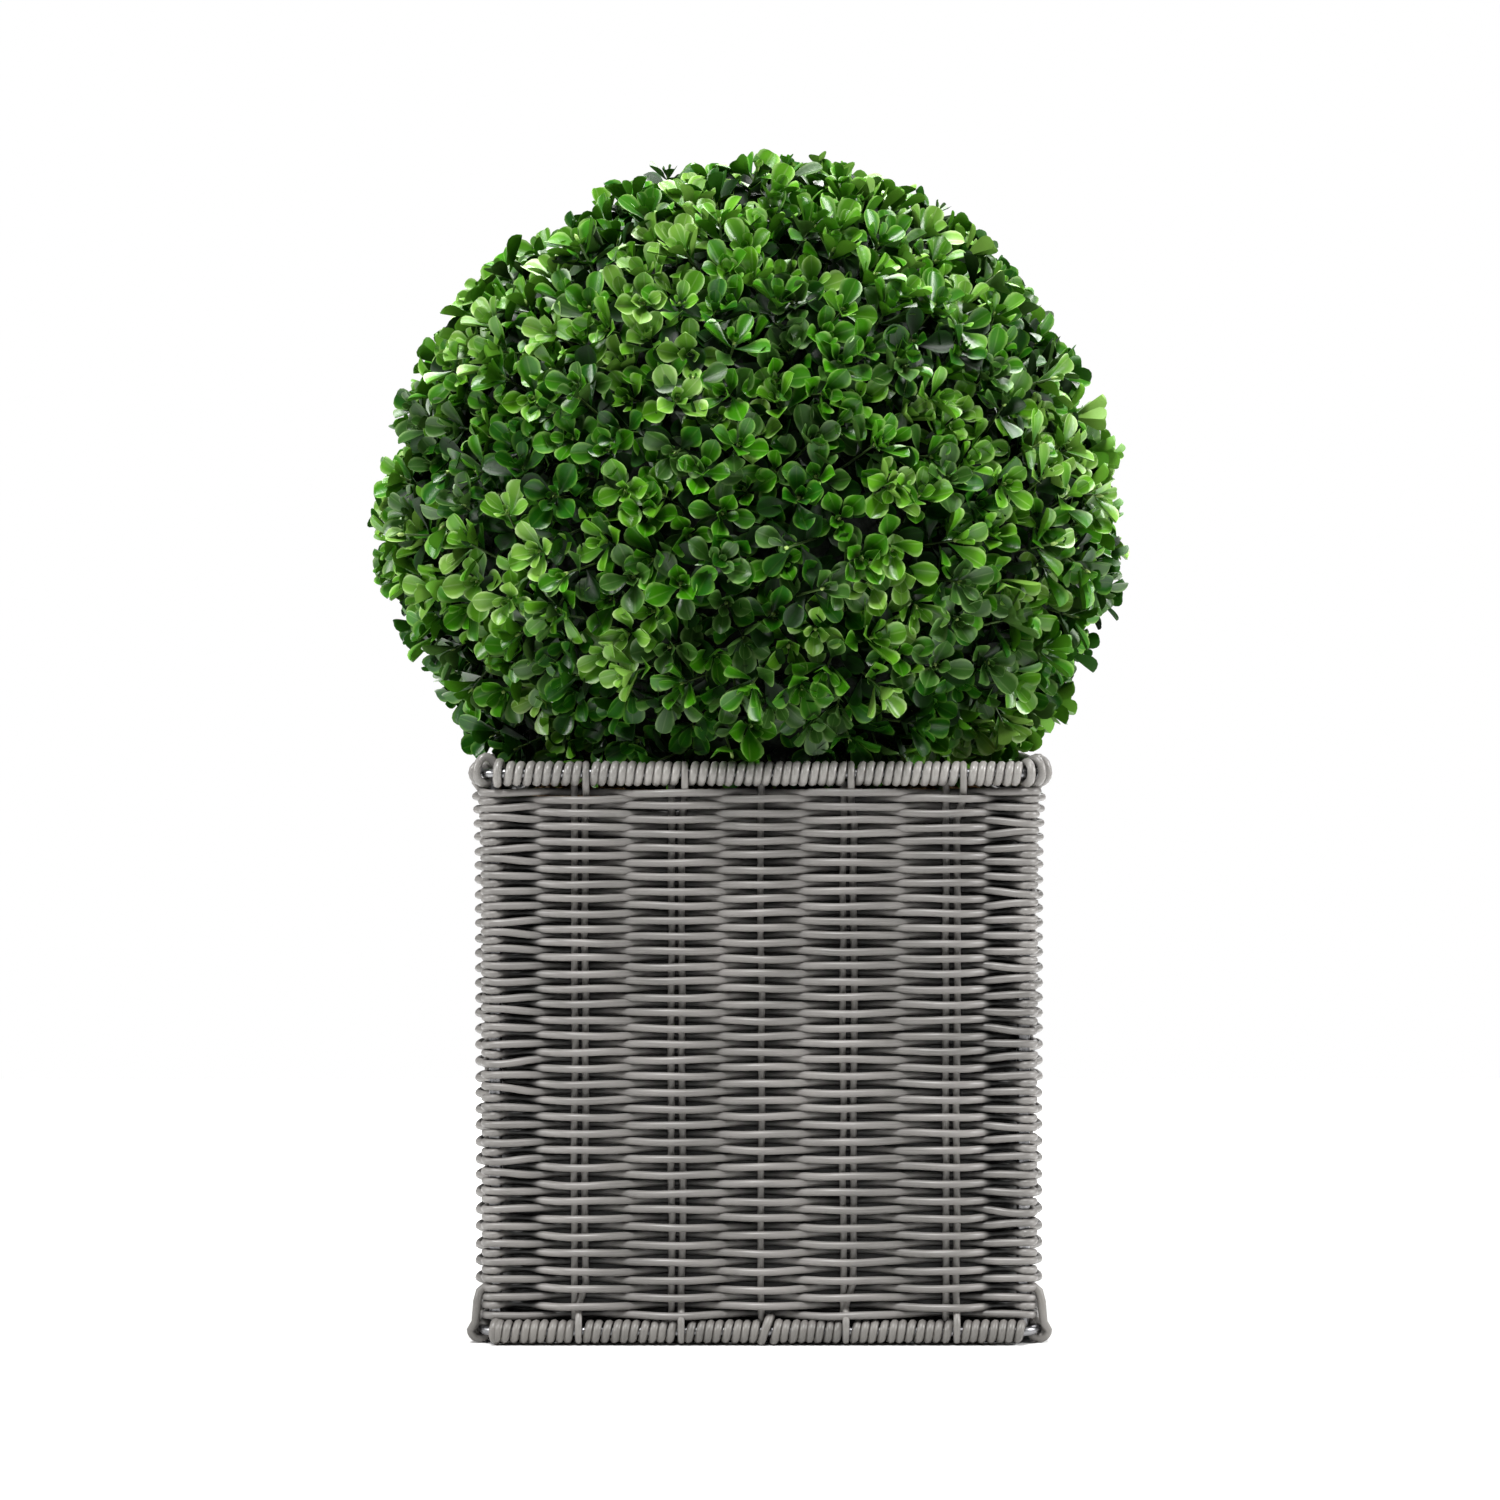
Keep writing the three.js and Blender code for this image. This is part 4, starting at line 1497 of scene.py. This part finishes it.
@dataclass
class LeafBall:
    """The clipped ball: a near-black core of painted shade, and sprigs of paired leaves that stand out of
    it.

    Attributes:
        rods: The steel frame, whose rim the leaves keep off.
        centre: The ball's middle.
        reach: How far the furthest tips stand from the middle.
        tuck: How much less they reach where the ball meets the planter.
        tucked: How far below the middle that begins, and over how much further down it grows, as
            shares of the reach.
        core: The core's radius.
        relief: How uneven the core is, and its lumps in a metre.
        foot: How far from the middle a twig starts.
        sprigs: How many sprigs a whole ball would have.
        lean: How far a sprig may lean from straight out.
        settle: How far its foot gives way for that, so that the tips stay evenly spread.
        unevenness: How far a sprig's tip may stay behind the others.
        swell: How much the ball's whole outline rises and falls.
        swells: How fine those swells are, and where their pattern starts.
        patches: How fine the broad and the narrow patches of lighter and deeper sprigs are.
        patch_start: Where the patches' pattern starts.
        tone_mix: How far the patches, the painted shade on the ball's underside and chance decide a sprig's
            tone.
        tone_shares: What share of the sprigs is of each tone or a deeper one, but for the lightest.
        twig: A twig's radius.
        bud: A bud's radius, and its length in such radii.
        clear: How far the foliage keeps off the coir and the rim.
        off_liner: How far inside the liner's outside it stays below the rim.
        dents: Where the ball is clipped shorter.
        pairs: The pairs of leaves, from a sprig's tip down.
        old: From which pair on the leaves are a tone darker, and from which on they all take the darkest
            tone, as painted shade deep in the ball.
        piece: How many leaves are joined into one piece at most.
        shapes: The leaves' shapes.
    """

    rods: RodFrame
    centre: tuple[float, float, float] = (-2.7 * MM, 0, 404 * MM)
    reach: float = 200.4 * MM
    tuck: float = 14 * MM
    tucked: tuple[float, float] = (0.08, 0.45)
    core: float = 160 * MM
    relief: tuple[float, float] = (3 * MM, 70)
    foot: float = 152 * MM
    sprigs: int = 1120
    lean: float = 0.5
    settle: float = 18 * MM
    unevenness: float = 13 * MM
    swell: float = 4 * MM
    swells: tuple[float, tuple[float, float, float]] = (2.3, (7, 3, 1))
    patches: tuple[float, float] = (2.6, 7)
    patch_start: tuple[float, float, float] = (10, 15, 10)
    tone_mix: tuple[float, float, float] = (1.4, 0.45, 0.36)
    tone_shares: tuple[float, ...] = (0.2, 0.34, 0.62, 0.85)
    twig: float = 0.8 * MM
    bud: tuple[float, float] = (1.1 * MM, 2.2)
    clear: float = 0.6 * MM
    off_liner: float = 9 * MM
    dents: tuple[Dent, ...] = (
        Dent((0.91, 0.0, 0.41), 12 * MM, 0.36),
        Dent((-0.64, 0.0, 0.77), 8 * MM, 0.3),
        Dent((-0.94, 0.0, -0.35), 5 * MM, 0.25),
        Dent((0.35, 0.88, 0.3), 7 * MM, 0.3),
    )
    pairs: tuple[LeafPair, ...] = (
        LeafPair(7 * MM, 0.25, 0.0),
        LeafPair(13 * MM, 0.45, 1 * MM),
        LeafPair(18.5 * MM, 0.66, 2.6 * MM),
        LeafPair(21 * MM, 0.86, 5 * MM),
        LeafPair(21 * MM, 1.02, 9 * MM),
        LeafPair(20.5 * MM, 1.18, 14.5 * MM),
        LeafPair(20 * MM, 1.3, 21 * MM),
    )
    old: tuple[int, int] = (4, 5)
    piece: int = 3200
    shapes: tuple[LeafShape, ...] = (
        LeafShape(0.54, 0.14, 0.08),
        LeafShape(0.58, 0.2, 0.0),
        LeafShape(0.5, 0.1, 0.16),
        LeafShape(0.6, 0.17, 0.1, dish=0.2),
    )

    def __post_init__(self) -> None:
        """Takes the rim's and the coir's places from the frame."""
        self.middle = np.array(self.centre)
        self.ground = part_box("filling")[1].z + self.clear
        self.rim = self.rods.heights[Rim.TOP]
        self.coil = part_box("rim_winding_top_front")[1].z - self.rim
        self.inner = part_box("liner")[1].x - self.off_liner
        self.random = np.random.default_rng(11)

    def has_room(self, points: np.ndarray) -> np.ndarray:
        """Tells where foliage may be: within the ball's reach, off the coir and off the rim.

        Args:
            points: The points that are tested, along the array's last axis.

        Returns:
            True for each point that is free.
        """
        x, y, z = np.moveaxis(points, -1, 0)
        sideways = np.maximum(abs(x), abs(y))
        past = [np.maximum(abs(side) - self.rods.line, 0) for side in (x, y)]
        inside = np.maximum(self.rods.line - sideways, 0)
        rim = np.sqrt(past[0] ** 2 + past[1] ** 2 + inside**2 + (z - self.rim) ** 2)
        free = np.linalg.norm(points - self.middle, axis=-1) <= self.reach
        free &= (z > self.ground) & (rim > self.coil + self.clear)
        return free & ((z > self.rim) | (sideways < self.inner))

    def directions(self) -> np.ndarray:
        """Even directions over the whole ball.

        Returns:
            One direction for each sprig, from the top down.
        """
        number = np.arange(self.sprigs)
        height = 1 - 2 * (number + 0.5) / self.sprigs
        width = np.sqrt(1 - height**2)
        around = number * GOLDEN_ANGLE
        return np.column_stack([width * np.cos(around), width * np.sin(around), height])

    def clipped(self, out: np.ndarray) -> np.ndarray:
        """How much shorter than a true ball the outline is clipped.

        Args:
            out: Directions from the ball's middle.

        Returns:
            The difference in each direction.
        """
        fine, start = self.swells
        swell = np.array([noise.noise(Vector(d) * fine + Vector(start)) for d in out])
        short = self.swell * np.clip(0.4 - 0.9 * swell, 0, 1)
        for dent in self.dents:
            angle = np.arccos(np.clip(out @ unit(np.array(dent.way)), -1, 1))
            short += dent.depth * np.exp(-((angle / dent.width) ** 2))
        return short

    def grow(self) -> dict[str, np.ndarray]:
        """Grows the twigs.

        Returns:
            Each twig's foot, axis, two axes across it, length and tone.
        """
        out = self.directions()
        count = len(out)
        lean = self.random.uniform(-1, 1, (count, 3)) * self.lean
        axis = unit(out + lean)
        side = unit(np.cross(axis, self.random.normal(size=(count, 3))))
        tallest = max(pair.length * math.cos(pair.splay) - pair.below for pair in self.pairs)
        start, run = self.tucked
        low = np.clip((-out[:, 2] - start) / run, 0, 1) ** 0.7
        behind = self.unevenness * self.random.uniform(0, 1, count) ** 1.5 + self.clipped(out)
        tip = self.reach - self.tuck * low - tallest - behind
        foot = self.middle + out * self.foot - lean * self.settle
        length = (tip - self.foot) / np.maximum((axis * out).sum(axis=1), 0.6)
        ends = foot + axis * length[:, None]
        keep = self.has_room(ends) & self.has_room(foot + axis * length[:, None] * 0.5)
        shift = Vector(self.patch_start)
        broad, narrow = [
            np.array([noise.noise(Vector(d) * fine + shift) for d in out]) for fine in self.patches
        ]
        patchy, shaded, chance = self.tone_mix
        # Painted shade: sprigs low on the ball's underside take deeper tones.
        tone = patchy * (broad + 0.5 * narrow) - shaded * low + self.random.normal(0, chance, count)
        grown = {
            "foot": foot, "axis": axis, "side": side, "other": np.cross(axis, side),
            "length": length, "tone": tone,
        }
        return {name: values[keep] for name, values in grown.items()}

    def leaves(self, twigs: dict[str, np.ndarray]) -> dict[str, np.ndarray]:
        """Sets every pair of leaves on the twigs, each a quarter turn on from the one before.

        Args:
            twigs: What grow gave.

        Returns:
            Each leaf's axes, place, twig and pair.
        """
        count = len(twigs["length"])
        start = self.random.uniform(0, math.pi, count)
        axes, places, owners, pairs = [], [], [], []
        for number, pair in enumerate(self.pairs):
            for opposite in (0, math.pi):
                turn = start + number * math.pi / 2 + opposite + self.random.uniform(-0.2, 0.2, count)
                splay = pair.splay + self.random.uniform(-0.2, 0.2, count)
                roll = self.random.uniform(-0.35, 0.35, count)
                size = pair.length * self.random.uniform(0.86, 1.06, count)
                out = np.cos(turn)[:, None] * twigs["side"] + np.sin(turn)[:, None] * twigs["other"]
                along = np.sin(splay)[:, None] * out + np.cos(splay)[:, None] * twigs["axis"]
                up = np.sin(splay)[:, None] * twigs["axis"] - np.cos(splay)[:, None] * out
                across = np.cross(along, up)
                rolled = np.cos(roll)[:, None] * across + np.sin(roll)[:, None] * up
                up = np.cross(rolled, along)
                height = twigs["length"] - pair.below
                axes.append(np.stack([rolled, along, up], axis=1) * size[:, None, None])
                places.append(twigs["foot"] + twigs["axis"] * height[:, None] + out * self.twig * 0.6)
                owners.append(np.arange(count))
                pairs.append(np.full(count, number))
        axes, places, owners, pairs = map(np.concatenate, (axes, places, owners, pairs))
        shares = np.array([0.5, 0.8, 1.0])
        tests = places[:, None, :] + axes[:, 1, None, :] * shares[:, None]
        free = self.has_room(tests).all(axis=1)
        return {"axes": axes[free], "places": places[free], "owner": owners[free], "pair": pairs[free]}

    def build_leaves(self, twigs: dict[str, np.ndarray]) -> None:
        """Makes the leaves, each tone apart. A leaf's tone goes by its sprig, and its lower pairs take
        painted shade.

        Args:
            twigs: What grow gave.
        """
        leaves = self.leaves(twigs)
        stamps = [Stamp(shape.build()) for shape in self.shapes]
        kind = self.random.integers(len(stamps), size=len(leaves["owner"]))
        limits = np.quantile(twigs["tone"], self.tone_shares)
        number = np.searchsorted(limits, twigs["tone"])[leaves["owner"]] + 1
        # Painted shade: the lower pairs, deep in the ball, go a tone darker, and the lowest take the darkest
        # tone.
        number = np.where(leaves["pair"] >= self.old[0], number - 1, number)
        number = np.where(leaves["pair"] >= self.old[1], 0, number)
        for tone_number, tone in enumerate(LeafTone):
            materials = [tone.upper.material(), tone.under.material()]
            chosen = np.flatnonzero(number == tone_number)
            shares = np.array_split(chosen, math.ceil(len(chosen) / self.piece))
            for share_number, share in enumerate(shares):
                parts = []
                for stamp_number, stamp in enumerate(stamps):
                    mine = share[kind[share] == stamp_number]
                    parts.append(stamp.spread(leaves["axes"][mine], leaves["places"][mine]))
                name = f"leaves_{tone.name.lower()}_{share_number + 1}"
                placed(name, joined_mesh(parts, *materials), "leaves", "leaf_ball")

    def build_twigs(self, twigs: dict[str, np.ndarray]) -> None:
        """Makes the twigs and the pale bud at the tip of each.

        Args:
            twigs: What grow gave.
        """
        bm = bmesh.new()
        bmesh.ops.create_cone(
            bm, cap_ends=True, segments=5, radius1=1, radius2=0.7, depth=1,
            matrix=Matrix.Translation((0, 0, 0.5)),
        )
        across = np.stack([twigs["side"], twigs["other"]], axis=1) * self.twig
        axis = twigs["axis"][:, None, :] * twigs["length"][:, None, None]
        twig = Stamp(bm).spread(np.concatenate([across, axis], axis=1), twigs["foot"])
        placed("twigs", joined_mesh([twig], TWIG.material()), "leaves", "leaf_ball")
        bm = bmesh.new()
        radius, slender = self.bud
        bmesh.ops.create_icosphere(bm, subdivisions=1, radius=1, matrix=Matrix.Diagonal((1, 1, slender, 1)))
        axes = np.stack([twigs["side"], twigs["other"], twigs["axis"]], axis=1) * radius
        tips = twigs["foot"] + twigs["axis"] * (twigs["length"][:, None] + MM)
        buds = Stamp(bm).spread(axes, tips)
        placed("buds", joined_mesh([buds], BUD.material()), "leaves", "leaf_ball")

    def build_core(self) -> None:
        """Makes the core, near black as painted shade, flat underneath where it stands on the coir."""
        bm = bmesh.new()
        middle = Vector(self.centre)
        height, lumps = self.relief
        bmesh.ops.create_icosphere(bm, subdivisions=5, radius=self.core, matrix=Matrix.Translation(middle))
        for v in bm.verts:
            away = v.co - middle
            v.co += away.normalized() * height * noise.noise(away * lumps)
        bmesh.ops.bisect_plane(
            bm, geom=everything(bm), plane_co=(0, 0, self.ground), plane_no=(0, 0, -1), clear_outer=True
        )
        bmesh.ops.holes_fill(bm, edges=[e for e in bm.edges if e.is_boundary])
        placed("ball_shade_core", from_bmesh(bm, SHADE_CORE.material()), "leaves", "leaf_ball")

    def build(self) -> None:
        """Makes the whole ball."""
        self.build_core()
        twigs = self.grow()
        self.build_twigs(twigs)
        self.build_leaves(twigs)


# ---------------------------------------------------------------- the whole


def main() -> None:
    """Builds the studio, the planter and the ball."""
    logging.basicConfig(level=logging.INFO, format="%(message)s")
    Studio().build()
    rods = RodFrame()
    rods.build()
    weave = Weave(rods)
    weave.build()
    Rims(rods, weave).build()
    Contents().build()
    LeafBall(rods).build()


if __name__ == "__main__":
    main()
